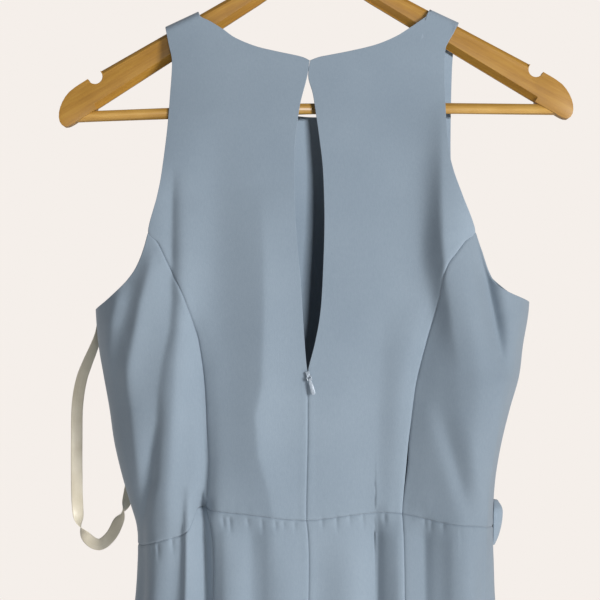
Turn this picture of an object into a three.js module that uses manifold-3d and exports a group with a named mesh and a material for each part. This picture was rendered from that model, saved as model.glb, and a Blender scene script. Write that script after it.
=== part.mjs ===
// Floor-length sleeveless crepe dress with a keyhole back, hanging on a wooden hanger.
// Millimetres, +Z up, the dress's back faces -Y, and the origin is where the hook hangs from a rail.
import * as THREE from 'three';
import Module from 'manifold-3d';
import { mergeVertices } from 'three/addons/utils/BufferGeometryUtils.js';

// Driving dimensions of the cloth
const CLOTH = 1.6;
const SEAM_GAP = 0.3;
const HEM_Z = -1654;
const SHOULDER_ROLL = 6;
const CENTRE_BACK_X = -4;
const SIDE_BACK_COLUMNS = 10;
const SIDE_FRONT_COLUMNS = 9;
const SHOULDER_COLUMNS = 3;
const NECK_BACK_COLUMNS = 10;
const NECK_FRONT_COLUMNS = 20;

// Driving dimensions of the hanger
const BOARD_DEPTH = 13;
const LOWER_BEVEL = 5;
const UPPER_BEVEL = 3;
const HANGER_TILT = -0.9;
const BAR_RADIUS = 4.8;
const SOCKET_PLAY = 0.3;
const HOOK_WIRE_RADIUS = 1.75;
const HOOK_INNER_RADIUS = 20;
const HOOK_SOCKET_DEPTH = 14;

// Driving dimensions of the zip, the neck's hook, the hanging loop and the waist knot
const ZIP = { top: -448, bottom: -745, halfDegrees: 4.2, thickness: 1 };
const SLIDER = { width: 3.4, height: 5, depth: 2.2, z: -445.5 };
const TAB = { width: 3.3, length: 13.2, thickness: 1, eye: 1.35, hole: 0.75, pin: 0.42, tilt: 16 };
const NECK_HOOK = { width: 7, height: 4, thickness: 1, z: -186 };
const RIBBON = { width: 9.7, thickness: 1 };

const DEGREE = Math.PI / 180;
const root = new THREE.Group();

// Colours, roughness and metalness of each finish
const crepe = { color: 0x8fa0b0, roughness: 0.9, metalness: 0 };
const satin = { color: 0xcfc3a6, roughness: 0.5, metalness: 0 };
const wood = { color: 0xb58243, roughness: 0.45, metalness: 0 };
const steel = { color: 0xb9bcc0, roughness: 0.25, metalness: 1 };
const enamel = { color: 0x7f93a8, roughness: 0.4, metalness: 0.2 };

function add(name, geometry, finish, parent = root) {
  const mesh = new THREE.Mesh(geometry, new THREE.MeshStandardMaterial(finish));
  mesh.name = name;
  parent.add(mesh);
  return mesh;
}

// A smooth curve through one column of a table whose rows are sorted by their key, highest first
function column(rows, key, name) {
  const slope = (i) => {
    const a = rows[Math.max(i - 1, 0)];
    const b = rows[Math.min(i + 1, rows.length - 1)];
    return (b[name] - a[name]) / (b[key] - a[key]);
  };
  return (at) => {
    let i = rows.findIndex((row) => row[key] <= at);
    if (i === 0) return rows[0][name];
    if (i < 0) return rows[rows.length - 1][name];
    i -= 1;
    const span = rows[i + 1][key] - rows[i][key];
    const u = (at - rows[i][key]) / span;
    const smooth = u * u * (3 - 2 * u);
    const bend = slope(i) * span * (u * (1 - u) * (1 - u)) - slope(i + 1) * span * (u * u * (1 - u));
    return rows[i][name] * (1 - smooth) + rows[i + 1][name] * smooth + bend;
  };
}

// Turns rows of numbers into named columns
function table(names, rows) {
  return rows.map((row) => Object.fromEntries(names.map((name, i) => [name, row[i]])));
}

// The dress's girth: left and right sides, and how far its back and front stand from the hanger
const GIRTH = table(['z', 'left', 'right', 'back', 'front'], [
  [-125, -187, 188, 9, 9],
  [-150, -187, 188, 14, 14],
  [-178, -187, 188, 23, 24],
  [-210, -187, 188, 33, 37],
  [-250, -187, 188, 44, 54],
  [-300, -187, 188, 53, 74],
  [-345, -187, 188, 59, 88],
  [-392, -186, 186, 62, 94],
  [-422, -183.5, 181, 63, 93],
  [-449, -179, 177.5, 62, 90],
  [-477, -174, 169.5, 61, 86],
  [-505, -170, 162.5, 59, 82],
  [-533, -165.5, 159, 58, 79],
  [-557, -158.5, 157.5, 58, 78],
  [-578, -153, 157, 58, 78],
  [-600, -151, 157, 59, 79],
  [-644, -153, 158, 62, 83],
  [-750, -164, 168, 69, 90],
  [-900, -182, 186, 79, 99],
  [-1150, -212, 216, 95, 112],
  [-1400, -240, 244, 109, 123],
  [HEM_Z, -266, 270, 122, 134],
]);
const girth = Object.fromEntries(
  ['left', 'right', 'back', 'front'].map((name) => [name, column(GIRTH, 'z', name)]),
);

// The shoulder seams run along the hanger's arms: height at the neck and fall towards the arm's end
const SHOULDER = { left: { x: -98, z: -134 }, right: { x: 102, z: -132.2 }, fall: 0.47 };

function shoulderLine(x) {
  const neck = x < 0 ? SHOULDER.left : SHOULDER.right;
  return neck.z - SHOULDER.fall * (Math.abs(x) - Math.abs(neck.x));
}

// Soft folds of the bodice: a line from (x1, z1) to (x2, z2), its width, and its height outwards
const FOLDS = table(['side', 'x1', 'z1', 'x2', 'z2', 'width', 'height'], [
  ['back', -113, -285, -115, -385, 9, -5],
  ['back', -117, -405, -138, -545, 9, -4],
  ['back', -144, -352, -158, -408, 8, -4],
  ['back', -147, -400, -150, -470, 12, 3],
  ['back', -97, -445, -97, -590, 8, 5],
  ['back', -92, -520, -88, -552, 5, -4],
  ['back', -60, -360, -62, -530, 18, -3],
  ['back', 107, -215, 106, -290, 8, -5],
  ['back', 106, -290, 98, -395, 8, -6],
  ['back', 128, -360, 130, -440, 12, 3],
  ['back', 98, -470, 124, -545, 13, -4],
  ['back', 141, -335, 160, -424, 8, -4],
  ['back', 40, -405, 42, -480, 14, 2],
  ['front', -120, -290, -112, -400, 10, -5],
  ['front', -60, -300, -40, -420, 16, -3],
  ['front', 60, -300, 62, -390, 16, -3],
  ['front', 118, -290, 116, -400, 10, -5],
  ['front', 128, -552, 20, -500, 8, 5],
  ['front', 126, -540, 30, -430, 9, 5],
  ['front', 130, -530, 78, -410, 9, 4],
  ['front', 126, -585, 40, -660, 9, 5],
  ['front', 130, -595, 84, -720, 9, 5],
]);

// The skirt's flutes: where each ridge lies round the waist from the centre back, and its height at the hem
const FLUTES = table(['degrees', 'height'], [
  [-112, 19], [-88, 17], [-62, 19], [-42.5, 20], [-26, 16], [-9, 15], [11, 17], [30, 19], [56, 21], [80, 18],
  [103, 20], [127, 19], [150, 17], [174, 18], [198, 17], [222, 20], [248, 19], [272, 17],
]);
const FLUTE_START_Z = -560;
const FLUTE_TOP_SHARE = 0.14;
const FLUTE_TOP_LENGTH = 60;

function flute(theta, z) {
  if (z > FLUTE_START_Z) return 0;
  const angle = theta / DEGREE;
  const i = FLUTES.findIndex((row) => row.degrees > angle);
  const a = FLUTES[i - 1];
  const b = FLUTES[i];
  const u = (angle - a.degrees) / (b.degrees - a.degrees);
  const height = a.height + (b.height - a.height) * u;
  const start = THREE.MathUtils.smoothstep(FLUTE_START_Z - z, 0, FLUTE_TOP_LENGTH) * FLUTE_TOP_SHARE;
  const growth = ((FLUTE_START_Z - z) / (FLUTE_START_Z - HEM_Z)) * (1 - FLUTE_TOP_SHARE);
  return height * (start + growth) * Math.cos(2 * Math.PI * u);
}

function bodiceFold(x, z, facing) {
  let sum = 0;
  for (const fold of FOLDS) {
    const share = fold.side === 'back' ? facing : -facing;
    if (share <= 0) continue;
    const dx = fold.x2 - fold.x1;
    const dz = fold.z2 - fold.z1;
    const u = ((x - fold.x1) * dx + (z - fold.z1) * dz) / (dx * dx + dz * dz);
    const along = THREE.MathUtils.clamp(u, 0, 1);
    const off = Math.hypot(x - fold.x1 - along * dx, z - fold.z1 - along * dz) / fold.width;
    sum += fold.height * Math.exp(-off * off) * Math.min(1, share * 3);
  }
  return sum;
}

// A point of the cloth's middle surface, by its angle round the body from the centre back and its height
function surface(theta, z) {
  const left = girth.left(z);
  const half = (girth.right(z) - left) / 2;
  const x = left + half + half * Math.sin(theta);
  const facing = Math.cos(theta);
  const depth = facing > 0 ? girth.back(z) : girth.front(z);
  const drop = THREE.MathUtils.clamp((shoulderLine(x) - z) / SHOULDER_ROLL, 0, 1);
  const roll = Math.sqrt(1 - (1 - drop) * (1 - drop));
  const out = new THREE.Vector2(depth * Math.sin(theta), -half * facing).normalize();
  const fold = (bodiceFold(x, z, facing) + flute(theta, z)) * roll;
  return new THREE.Vector3(x + out.x * fold, -depth * facing * roll + out.y * fold, z);
}

// The outward normal there; along the shoulder seam it points straight off the hanger's arm
function normal(theta, z) {
  const here = surface(theta, z);
  if (shoulderLine(here.x) - z < 0.3) {
    return new THREE.Vector3(Math.sign(here.x) * SHOULDER.fall, 0, 1).normalize();
  }
  const angleStep = 0.4 * DEGREE;
  const heightStep = 1;
  const across = surface(theta + angleStep, z).sub(surface(theta - angleStep, z));
  const upwards = surface(theta, z + heightStep).sub(surface(theta, z - heightStep));
  return across.cross(upwards).normalize();
}

// The angle at which the back or the front lies at x
function angleAt(x, z, side) {
  const left = girth.left(z);
  const half = (girth.right(z) - left) / 2;
  const share = THREE.MathUtils.clamp((x - left - half) / half, -1, 1);
  return side === 'back' ? Math.asin(share) : Math.PI - Math.asin(share);
}

// Edges of the pieces, each a list of points (x, z) seen from behind
const points = (rows) => rows.map(([x, z]) => new THREE.Vector2(x, z));

const NECK_BACK_LEFT = points([[-98, -134], [-97.6, -136], [-96, -139.5], [-88, -143.5], [-77, -150.5], [-66, -158.5], [-49, -166],
  [-32, -170.5], [-10, -175.5], [-2.2, -179]]);
const NECK_BACK_RIGHT = points([[-1.8, -179], [6, -176], [15.5, -174], [32.5, -170.5], [54, -165],
  [71.5, -157.5], [84, -149.5], [94, -142.5], [100, -138], [101.6, -134.6], [102, -132.2]]);
const KEYHOLE_LEFT = points([[-2.2, -179], [-4.3, -193], [-7.7, -206.5], [-10, -216], [-12, -228.5],
  [-14.3, -248], [-15.2, -270], [-14.2, -316], [-10, -367], [-7.9, -400], [-5.5, -433], [-4.2, -443]]);
const KEYHOLE_RIGHT = points([[-1.8, -179], [-3.5, -193], [0, -206.5], [1.7, -216], [3.4, -228.5],
  [6, -248], [8.8, -274], [10, -316], [8.8, -358], [6.7, -392], [2.5, -417], [-2.6, -437], [-3.8, -443]]);
const ARMHOLE_BACK_LEFT = points([[-126.6, -147.6], [-124.5, -158], [-122.5, -167], [-120, -180],
  [-121, -207], [-123, -241], [-127, -276], [-131, -297], [-138, -326.8]]);
const ARMHOLE_BACK_RIGHT = points([[127, -145], [121, -155], [117, -162], [114.5, -168], [113, -185],
  [113, -230], [114.5, -258], [118, -276], [125, -297], [135.3, -326.8]]);
const UNDERARM_BACK_LEFT = points([[-138, -326.8], [-145, -345], [-151.5, -359], [-163, -373],
  [-172, -380.5], [-180.5, -387], [-186, -392]]);
const UNDERARM_BACK_RIGHT = points([[135.3, -326.8], [144, -345], [149.5, -359], [154.5, -366],
  [162.5, -373], [177, -380], [186, -386]]);
const PRINCESS_LEFT = points([[-138, -326.8], [-130, -335.5], [-119.5, -356.5], [-107.5, -381],
  [-99, -404.5], [-94.5, -421], [-90, -454.5], [-88, -492], [-86, -522], [-86, -559.5]]);
const PRINCESS_RIGHT = points([[135.3, -326.8], [127.5, -334], [119.5, -344], [112.5, -353], [108, -365],
  [105, -383.5], [96.5, -413], [88, -446], [84.5, -467], [81, -500], [79.5, -526], [77, -561]]);
const NECK_FRONT = points([[102, -132.2], [101.6, -135], [100.5, -141], [96, -158], [82, -184], [62, -203], [36, -216], [2, -221],
  [-32, -216], [-58, -203], [-79, -183], [-92, -158], [-96.5, -142], [-97.6, -136.5], [-98, -134]]);
const ARMHOLE_FRONT_LEFT = points([[-126.6, -147.6], [-122, -165], [-120, -185], [-119, -220],
  [-120, -255], [-124, -290], [-131, -320]]);
const ARMHOLE_FRONT_RIGHT = points([[127, -145], [124.5, -160], [123, -180], [123, -225], [124, -262],
  [127, -292], [133, -320]]);
const UNDERARM_FRONT_LEFT = points([[-131, -320], [-140, -343], [-155, -366], [-172, -382], [-186, -392]]);
const UNDERARM_FRONT_RIGHT = points([[133, -320], [141, -341], [155, -362], [172, -378], [186, -386]]);
const PRINCESS_FRONT_LEFT = points([[-131, -320], [-112, -350], [-101, -385], [-97, -425], [-93, -480],
  [-90, -530], [-89, -577]]);
const PRINCESS_FRONT_RIGHT = points([[133, -320], [114, -350], [103, -385], [98, -425], [93, -480],
  [89, -530], [88, -572]]);

// The waist seam's height round the body; it lifts at the centre back's folds and sags at the left side
const WAIST = table(['degrees', 'z'], [
  [271, -594], [250, -588], [220, -578], [180, -570], [140, -572], [110, -577], [90, -577.5], [65, -573],
  [43, -569], [26, -561.5], [11, -564], [-2.4, -567.5], [-20, -563], [-32.8, -560], [-38, -558.5],
  [-44.7, -577.5], [-55, -584], [-75, -592], [-91, -594],
]);
const waist = column(WAIST, 'degrees', 'z');

// Shares of an edge's length: some given first ones, then even steps to its end
function shares(first, steps) {
  const list = [...first];
  const last = first[first.length - 1];
  const rest = steps - first.length + 1;
  for (let i = 1; i <= rest; i += 1) list.push(last + ((1 - last) * i) / rest);
  return list;
}

// Points at those shares along a smooth curve through the given ones, as (angle, z) on the back or front
function edgeAt(list, side, at) {
  const curve = new THREE.SplineCurve(list);
  curve.arcLengthDivisions = 400;
  return at.map((share) => {
    const p = curve.getPointAt(share);
    return new THREE.Vector2(angleAt(p.x, p.y, side), p.y);
  });
}

// One edge after another, without repeating the point where they meet
function joined(...edges) {
  return edges.flatMap((edge, i) => (i ? edge.slice(1) : edge));
}

const reversed = (edge) => [...edge].reverse();

// A shoulder seam from its outer end to the neck
function shoulder(outerX, neckX, side) {
  const edge = [];
  for (let i = 0; i <= SHOULDER_COLUMNS; i += 1) {
    const x = outerX + ((neckX - outerX) * i) / SHOULDER_COLUMNS;
    edge.push(new THREE.Vector2(angleAt(x, shoulderLine(x), side), shoulderLine(x)));
  }
  return edge;
}

// Points at a level curve between two angles
function around(from, to, steps, level) {
  const edge = [];
  for (let i = 0; i <= steps; i += 1) {
    const degrees = from + ((to - from) * i) / steps;
    edge.push(new THREE.Vector2(degrees * DEGREE, level(degrees)));
  }
  return edge;
}

// Points down the body at one angle
function down(degrees, from, to, at) {
  return at.map((share) => new THREE.Vector2(degrees * DEGREE, from + (to - from) * share));
}

// An edge whose last point is moved onto the waist seam at the given angle
function endingAtWaist(edge, degrees) {
  return [...edge.slice(0, -1), new THREE.Vector2(degrees * DEGREE, waist(degrees))];
}

// A grid of (angle, z) that fills four edges: top and bottom run rightwards, left and right run downwards
function fill(top, bottom, left, right) {
  const fallen = (edge, i) => (edge[0].y - edge[i].y) / (edge[0].y - edge[edge.length - 1].y);
  const end = (edge) => edge[edge.length - 1];
  return left.map((leftPoint, i) => top.map((topPoint, j) => {
    const t = (fallen(left, i) + fallen(right, i)) / 2;
    const s = j / (top.length - 1);
    const sides = leftPoint.clone().multiplyScalar(1 - s).addScaledVector(right[i], s);
    const ends = topPoint.clone().multiplyScalar(1 - t).addScaledVector(bottom[j], t);
    const corners = top[0].clone().multiplyScalar((1 - s) * (1 - t))
      .addScaledVector(end(top), s * (1 - t))
      .addScaledVector(bottom[0], (1 - s) * t)
      .addScaledVector(end(bottom), s * t);
    return sides.add(ends).sub(corners);
  }));
}

// A closed wall of the given thickness round rows of middle points with their outward normals.
// Facing rims of two sewn pieces are split along the same diagonals, so that they stay parallel.
function sheet(middle, normals, thickness) {
  const rows = middle.length;
  const columns = middle[0].length;
  const position = [];
  for (const side of [0.5, -0.5]) {
    middle.forEach((row, i) => row.forEach((p, j) => {
      position.push(...p.clone().addScaledVector(normals[i][j], side * thickness).toArray());
    }));
  }
  const index = [];
  const quad = (a, b, c, d) => index.push(a, b, c, a, c, d);
  const outer = (i, j) => i * columns + j;
  const inner = (i, j) => rows * columns + outer(i, j);
  const lastRow = rows - 1;
  const lastColumn = columns - 1;
  for (let i = 0; i < lastRow; i += 1) {
    for (let j = 0; j < lastColumn; j += 1) {
      quad(outer(i, j), outer(i + 1, j), outer(i + 1, j + 1), outer(i, j + 1));
      quad(inner(i, j), inner(i, j + 1), inner(i + 1, j + 1), inner(i + 1, j));
    }
    quad(outer(i, 0), inner(i, 0), inner(i + 1, 0), outer(i + 1, 0));
    quad(outer(i, lastColumn), outer(i + 1, lastColumn), inner(i + 1, lastColumn), inner(i, lastColumn));
  }
  for (let j = 0; j < lastColumn; j += 1) {
    quad(outer(0, j), outer(0, j + 1), inner(0, j + 1), inner(0, j));
    quad(outer(lastRow, j), inner(lastRow, j), inner(lastRow, j + 1), outer(lastRow, j + 1));
  }
  const geometry = new THREE.BufferGeometry();
  geometry.setAttribute('position', new THREE.Float32BufferAttribute(position, 3));
  geometry.setIndex(index);
  return geometry;
}

// A piece of the dress: its wall on the body's surface, drawn in by half the seam gap at sewn edges.
// A lift other than 0 moves the whole piece outwards, or inwards for what lies behind the cloth.
function piece(name, grid, sewn, finish = crepe, thickness = CLOTH, lift = 0) {
  const middle = grid.map((row) => row.map((p) => surface(p.x, p.y)));
  const normals = grid.map((row) => row.map((p) => normal(p.x, p.y)));
  const drawn = middle.map((row, i) => row.map((p, j) => p.clone().addScaledVector(normals[i][j], lift)));
  const drawIn = (i, j, di, dj) => {
    const run = middle[i + di][j + dj].clone().sub(middle[i][j]);
    run.addScaledVector(normals[i][j], -run.dot(normals[i][j])).normalize();
    drawn[i][j].addScaledVector(run, SEAM_GAP / 2);
  };
  const lastRow = grid.length - 1;
  const lastColumn = grid[0].length - 1;
  for (let i = 0; i <= lastRow; i += 1) {
    if (sewn.left?.(i)) drawIn(i, 0, 0, 1);
    if (sewn.right?.(i)) drawIn(i, lastColumn, 0, -1);
  }
  for (let j = 0; j <= lastColumn; j += 1) {
    if (sewn.top?.(j)) drawIn(0, j, 1, 0);
    if (sewn.bottom?.(j)) drawIn(lastRow, j, -1, 0);
  }
  return add(name, sheet(drawn, normals, thickness), finish);
}

// Rows of the bodice: the armhole with its close first rows over the hanger's arm, then the princess seam
const ARMHOLE_SHARES = shares([0, 0.0016, 0.0065, 0.02, 0.05, 0.12], 11);
const KEYHOLE_SHARES = shares([0, 0.0012, 0.005, 0.015, 0.035, 0.08], 12);
const SEAM_SHARES = shares([0], 8);
const CENTRE_SHARES = shares([0], 7);
const NECK_BACK_SHARES = shares([0, 0.007, 0.026, 0.065], NECK_BACK_COLUMNS);
const UNDERARM_BACK_SHARES = shares([0], SIDE_BACK_COLUMNS);
const UNDERARM_FRONT_SHARES = shares([0], SIDE_FRONT_COLUMNS);
const always = () => true;

// Angles, in degrees round the body, where seams meet the waist and go on down the skirt
const SEAM_DEGREES = {
  sideLeft: -90, backLeft: -34.6, centre: -2.3, backRight: 28.9, sideRight: 90, frontRight: 146.3,
  frontLeft: 215.9, frontSideLeft: 270,
};
const UNDERARM_Z = { left: -392, right: -386 };

const princessLeft = endingAtWaist(edgeAt(PRINCESS_LEFT, 'back', SEAM_SHARES), SEAM_DEGREES.backLeft);
const princessRight = endingAtWaist(edgeAt(PRINCESS_RIGHT, 'back', SEAM_SHARES), SEAM_DEGREES.backRight);
const princessFrontLeft = endingAtWaist(
  edgeAt(PRINCESS_FRONT_LEFT, 'front', SEAM_SHARES),
  SEAM_DEGREES.frontLeft,
);
const princessFrontRight = endingAtWaist(
  edgeAt(PRINCESS_FRONT_RIGHT, 'front', SEAM_SHARES),
  SEAM_DEGREES.frontRight,
);
const sideSeam = (degrees, top) => down(degrees, top, waist(degrees), SEAM_SHARES);
const waistSeam = (from, to, steps) => around(from, to, steps, waist);

const KEYHOLE_END_Z = KEYHOLE_LEFT[KEYHOLE_LEFT.length - 1].y;
function centreBack(keyhole) {
  const end = new THREE.Vector2(CENTRE_BACK_X, KEYHOLE_END_Z);
  const foot = new THREE.Vector2(CENTRE_BACK_X, waist(SEAM_DEGREES.centre));
  const seam = edgeAt([end, foot], 'back', CENTRE_SHARES);
  return joined(edgeAt(keyhole, 'back', KEYHOLE_SHARES), endingAtWaist(seam, SEAM_DEGREES.centre));
}
const keyholeRows = KEYHOLE_SHARES.length - 1;
const armholeRows = ARMHOLE_SHARES.length - 1;
const backColumns = SHOULDER_COLUMNS + NECK_BACK_COLUMNS;
const frontColumns = 2 * SHOULDER_COLUMNS + NECK_FRONT_COLUMNS;
const belowKeyhole = (i) => i > keyholeRows;
const belowArmhole = (i) => i >= armholeRows;

// Back of the bodice, left of the keyhole and right of it
piece('bodice_back_left', fill(
  joined(shoulder(ARMHOLE_BACK_LEFT[0].x, SHOULDER.left.x, 'back'), edgeAt(NECK_BACK_LEFT, 'back', NECK_BACK_SHARES)),
  waistSeam(SEAM_DEGREES.backLeft, SEAM_DEGREES.centre, backColumns),
  joined(edgeAt(ARMHOLE_BACK_LEFT, 'back', ARMHOLE_SHARES), princessLeft),
  centreBack(KEYHOLE_LEFT),
), { top: (j) => j <= SHOULDER_COLUMNS, bottom: always, left: belowArmhole, right: belowKeyhole });

piece('bodice_back_right', fill(
  joined(
    reversed(edgeAt(reversed(NECK_BACK_RIGHT), 'back', NECK_BACK_SHARES)),
    reversed(shoulder(ARMHOLE_BACK_RIGHT[0].x, SHOULDER.right.x, 'back')),
  ),
  waistSeam(SEAM_DEGREES.centre, SEAM_DEGREES.backRight, backColumns),
  centreBack(KEYHOLE_RIGHT),
  joined(edgeAt(ARMHOLE_BACK_RIGHT, 'back', ARMHOLE_SHARES), princessRight),
), { top: (j) => j >= NECK_BACK_COLUMNS, bottom: always, left: belowKeyhole, right: belowArmhole });

// Side pieces of the back
piece('bodice_side_back_left', fill(
  reversed(edgeAt(UNDERARM_BACK_LEFT, 'back', UNDERARM_BACK_SHARES)),
  waistSeam(SEAM_DEGREES.sideLeft, SEAM_DEGREES.backLeft, SIDE_BACK_COLUMNS),
  sideSeam(SEAM_DEGREES.sideLeft, UNDERARM_Z.left),
  princessLeft,
), { bottom: always, left: always, right: always });

piece('bodice_side_back_right', fill(
  edgeAt(UNDERARM_BACK_RIGHT, 'back', UNDERARM_BACK_SHARES),
  waistSeam(SEAM_DEGREES.backRight, SEAM_DEGREES.sideRight, SIDE_BACK_COLUMNS),
  princessRight,
  sideSeam(SEAM_DEGREES.sideRight, UNDERARM_Z.right),
), { bottom: always, left: always, right: always });

// Front of the bodice with its high round neckline, and its side pieces
const neckHalf = shares([0, 0.0035, 0.014, 0.035], NECK_FRONT_COLUMNS / 2).map((share) => share / 2);
const NECK_FRONT_SHARES = [...neckHalf, ...reversed(neckHalf).slice(1).map((share) => 1 - share)];
piece('bodice_front', fill(
  joined(
    shoulder(ARMHOLE_FRONT_RIGHT[0].x, SHOULDER.right.x, 'front'),
    edgeAt(NECK_FRONT, 'front', NECK_FRONT_SHARES),
    reversed(shoulder(ARMHOLE_FRONT_LEFT[0].x, SHOULDER.left.x, 'front')),
  ),
  waistSeam(SEAM_DEGREES.frontRight, SEAM_DEGREES.frontLeft, frontColumns),
  joined(edgeAt(ARMHOLE_FRONT_RIGHT, 'front', ARMHOLE_SHARES), princessFrontRight),
  joined(edgeAt(ARMHOLE_FRONT_LEFT, 'front', ARMHOLE_SHARES), princessFrontLeft),
), {
  top: (j) => j <= SHOULDER_COLUMNS || j >= frontColumns - SHOULDER_COLUMNS,
  bottom: always,
  left: belowArmhole,
  right: belowArmhole,
});

piece('bodice_side_front_right', fill(
  reversed(edgeAt(UNDERARM_FRONT_RIGHT, 'front', UNDERARM_FRONT_SHARES)),
  waistSeam(SEAM_DEGREES.sideRight, SEAM_DEGREES.frontRight, SIDE_FRONT_COLUMNS),
  sideSeam(SEAM_DEGREES.sideRight, UNDERARM_Z.right),
  princessFrontRight,
), { bottom: always, left: always, right: always });

piece('bodice_side_front_left', fill(
  edgeAt(UNDERARM_FRONT_LEFT, 'front', UNDERARM_FRONT_SHARES),
  waistSeam(SEAM_DEGREES.frontLeft, SEAM_DEGREES.frontSideLeft, SIDE_FRONT_COLUMNS),
  princessFrontLeft,
  sideSeam(SEAM_DEGREES.frontSideLeft, UNDERARM_Z.left),
), { bottom: always, left: always, right: always });

// The skirt's seven pieces, each between two seams and from the waist seam to the level hem
const SKIRT_SHARES = shares([0, 0.02, 0.045, 0.08, 0.13], 13);
const SKIRT_PIECES = [
  ['skirt_side_back_left', SEAM_DEGREES.sideLeft, SEAM_DEGREES.backLeft, SIDE_BACK_COLUMNS],
  ['skirt_back_left', SEAM_DEGREES.backLeft, SEAM_DEGREES.centre, backColumns],
  ['skirt_back_right', SEAM_DEGREES.centre, SEAM_DEGREES.backRight, backColumns],
  ['skirt_side_back_right', SEAM_DEGREES.backRight, SEAM_DEGREES.sideRight, SIDE_BACK_COLUMNS],
  ['skirt_side_front_right', SEAM_DEGREES.sideRight, SEAM_DEGREES.frontRight, SIDE_FRONT_COLUMNS],
  ['skirt_front', SEAM_DEGREES.frontRight, SEAM_DEGREES.frontLeft, frontColumns],
  ['skirt_side_front_left', SEAM_DEGREES.frontLeft, SEAM_DEGREES.frontSideLeft, SIDE_FRONT_COLUMNS],
];
for (const [name, from, to, columns] of SKIRT_PIECES) {
  piece(name, fill(
    waistSeam(from, to, columns),
    around(from, to, columns, () => HEM_Z),
    down(from, waist(from), HEM_Z, SKIRT_SHARES),
    down(to, waist(to), HEM_Z, SKIRT_SHARES),
  ), { top: always, left: always, right: always });
}

// Booleans: a closed mesh becomes a solid, and the result becomes a geometry again
const wasm = await Module();
wasm.setup();

function solid(geometry) {
  const bare = geometry.clone();
  bare.deleteAttribute('normal');
  bare.deleteAttribute('uv');
  const merged = mergeVertices(bare, 1e-4);
  return new wasm.Manifold(new wasm.Mesh({
    numProp: 3,
    vertProperties: new Float32Array(merged.attributes.position.array),
    triVerts: new Uint32Array(merged.index.array),
  }));
}

function fromSolid(shape) {
  const mesh = shape.getMesh();
  const geometry = new THREE.BufferGeometry();
  geometry.setAttribute('position', new THREE.Float32BufferAttribute(mesh.vertProperties, 3));
  geometry.setIndex([...mesh.triVerts]);
  return geometry;
}

// A round rod along a path
function rod(path, radius, steps, sides) {
  const section = new THREE.Shape();
  for (let i = 0; i < sides; i += 1) {
    const angle = (2 * Math.PI * i) / sides;
    const x = radius * Math.cos(angle);
    const y = radius * Math.sin(angle);
    if (i) section.lineTo(x, y);
    else section.moveTo(x, y);
  }
  return new THREE.ExtrudeGeometry(section, { steps, curveSegments: 1, extrudePath: path });
}

// The hanger hangs a little lower on its left, turned about the point where its hook bears
const hanger = new THREE.Group();
hanger.rotation.y = HANGER_TILT * DEGREE;
root.add(hanger);

// Half outline of the wooden board, right of its middle, seen from behind: (x, z)
const ARM = { top: { x: 183, z: -181.5 }, fall: 0.552, middle: -79 };
const NOTCH = { x: 190.5, z: -187.5, radius: 6.5 };
const NOSE = points([[204, -194], [213, -200.5], [219, -209], [222, -218], [221.5, -226], [217.5, -230.3],
  [212, -229], [207, -226]]);
const LOWER_EDGE = points([[187, -214], [124.5, -175.5], [86, -151], [47.7, -127], [22, -110], [8, -104]]);

function boardOutline() {
  const half = [new THREE.Vector2(6, ARM.middle), new THREE.Vector2(16, -85)];
  half.push(new THREE.Vector2(30, ARM.top.z + ARM.fall * (ARM.top.x - 30)));
  half.push(new THREE.Vector2(ARM.top.x, ARM.top.z));
  half.push(...new THREE.SplineCurve(NOSE).getPoints(14));
  half.push(...LOWER_EDGE);
  const other = reversed(half).map((p) => new THREE.Vector2(-p.x, p.y));
  return new THREE.Shape([...half, ...other]);
}

// The board lies in the plane y = 0: the outline is drawn in x and z and given its depth along y
function upright(geometry, depth) {
  return geometry.rotateX(Math.PI / 2).translate(0, depth / 2, 0);
}

function board() {
  let shape = solid(upright(
    new THREE.ExtrudeGeometry(boardOutline(), { depth: BOARD_DEPTH, bevelEnabled: false }),
    BOARD_DEPTH,
  ));
  const notch = new THREE.CylinderGeometry(NOTCH.radius, NOTCH.radius, 2 * BOARD_DEPTH, 20);
  for (const side of [-1, 1]) {
    shape = shape.subtract(solid(notch.clone().translate(side * NOTCH.x, 0, NOTCH.z)));
    for (const face of [-1, 1]) {
      shape = shape.subtract(solid(bevel(side, face, LOWER_BEVEL, [30, -115], [189, -215.3])));
      const inner = [26, ARM.top.z + ARM.fall * (ARM.top.x - 26)];
      shape = shape.subtract(solid(bevel(side, face, UPPER_BEVEL, inner, [ARM.top.x + 2, ARM.top.z - 1.1])));
    }
    const socket = rod(barPath(side * (BAR_END + SOCKET_PLAY), side * 170), BAR_RADIUS + SOCKET_PLAY, 4, 16);
    shape = shape.subtract(solid(socket));
  }
  const bore = new THREE.CylinderGeometry(
    HOOK_WIRE_RADIUS + SOCKET_PLAY,
    HOOK_WIRE_RADIUS + SOCKET_PLAY,
    2 * HOOK_SOCKET_DEPTH,
    16,
  );
  return shape.subtract(solid(bore.rotateX(Math.PI / 2).translate(0, 0, ARM.middle)));
}

// A square bar laid corner-on along an edge of one arm, which cuts that edge's bevel
function bevel(side, face, size, from, to) {
  const start = new THREE.Vector3(side * from[0], (face * BOARD_DEPTH) / 2, from[1]);
  const end = new THREE.Vector3(side * to[0], (face * BOARD_DEPTH) / 2, to[1]);
  const run = end.clone().sub(start);
  const box = new THREE.BoxGeometry(run.length(), size * Math.SQRT2, size * Math.SQRT2);
  box.rotateX(Math.PI / 4);
  box.rotateY(-Math.atan2(run.z, run.x));
  const middle = start.add(end).multiplyScalar(0.5);
  return box.translate(middle.x, middle.y, middle.z);
}

// The trouser bar bows up a little between its sockets in the board's noses
const BAR_END = 212;
const BAR_MIDDLE_Z = -217.4;
const BAR_END_DROP = 4.4;

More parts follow.
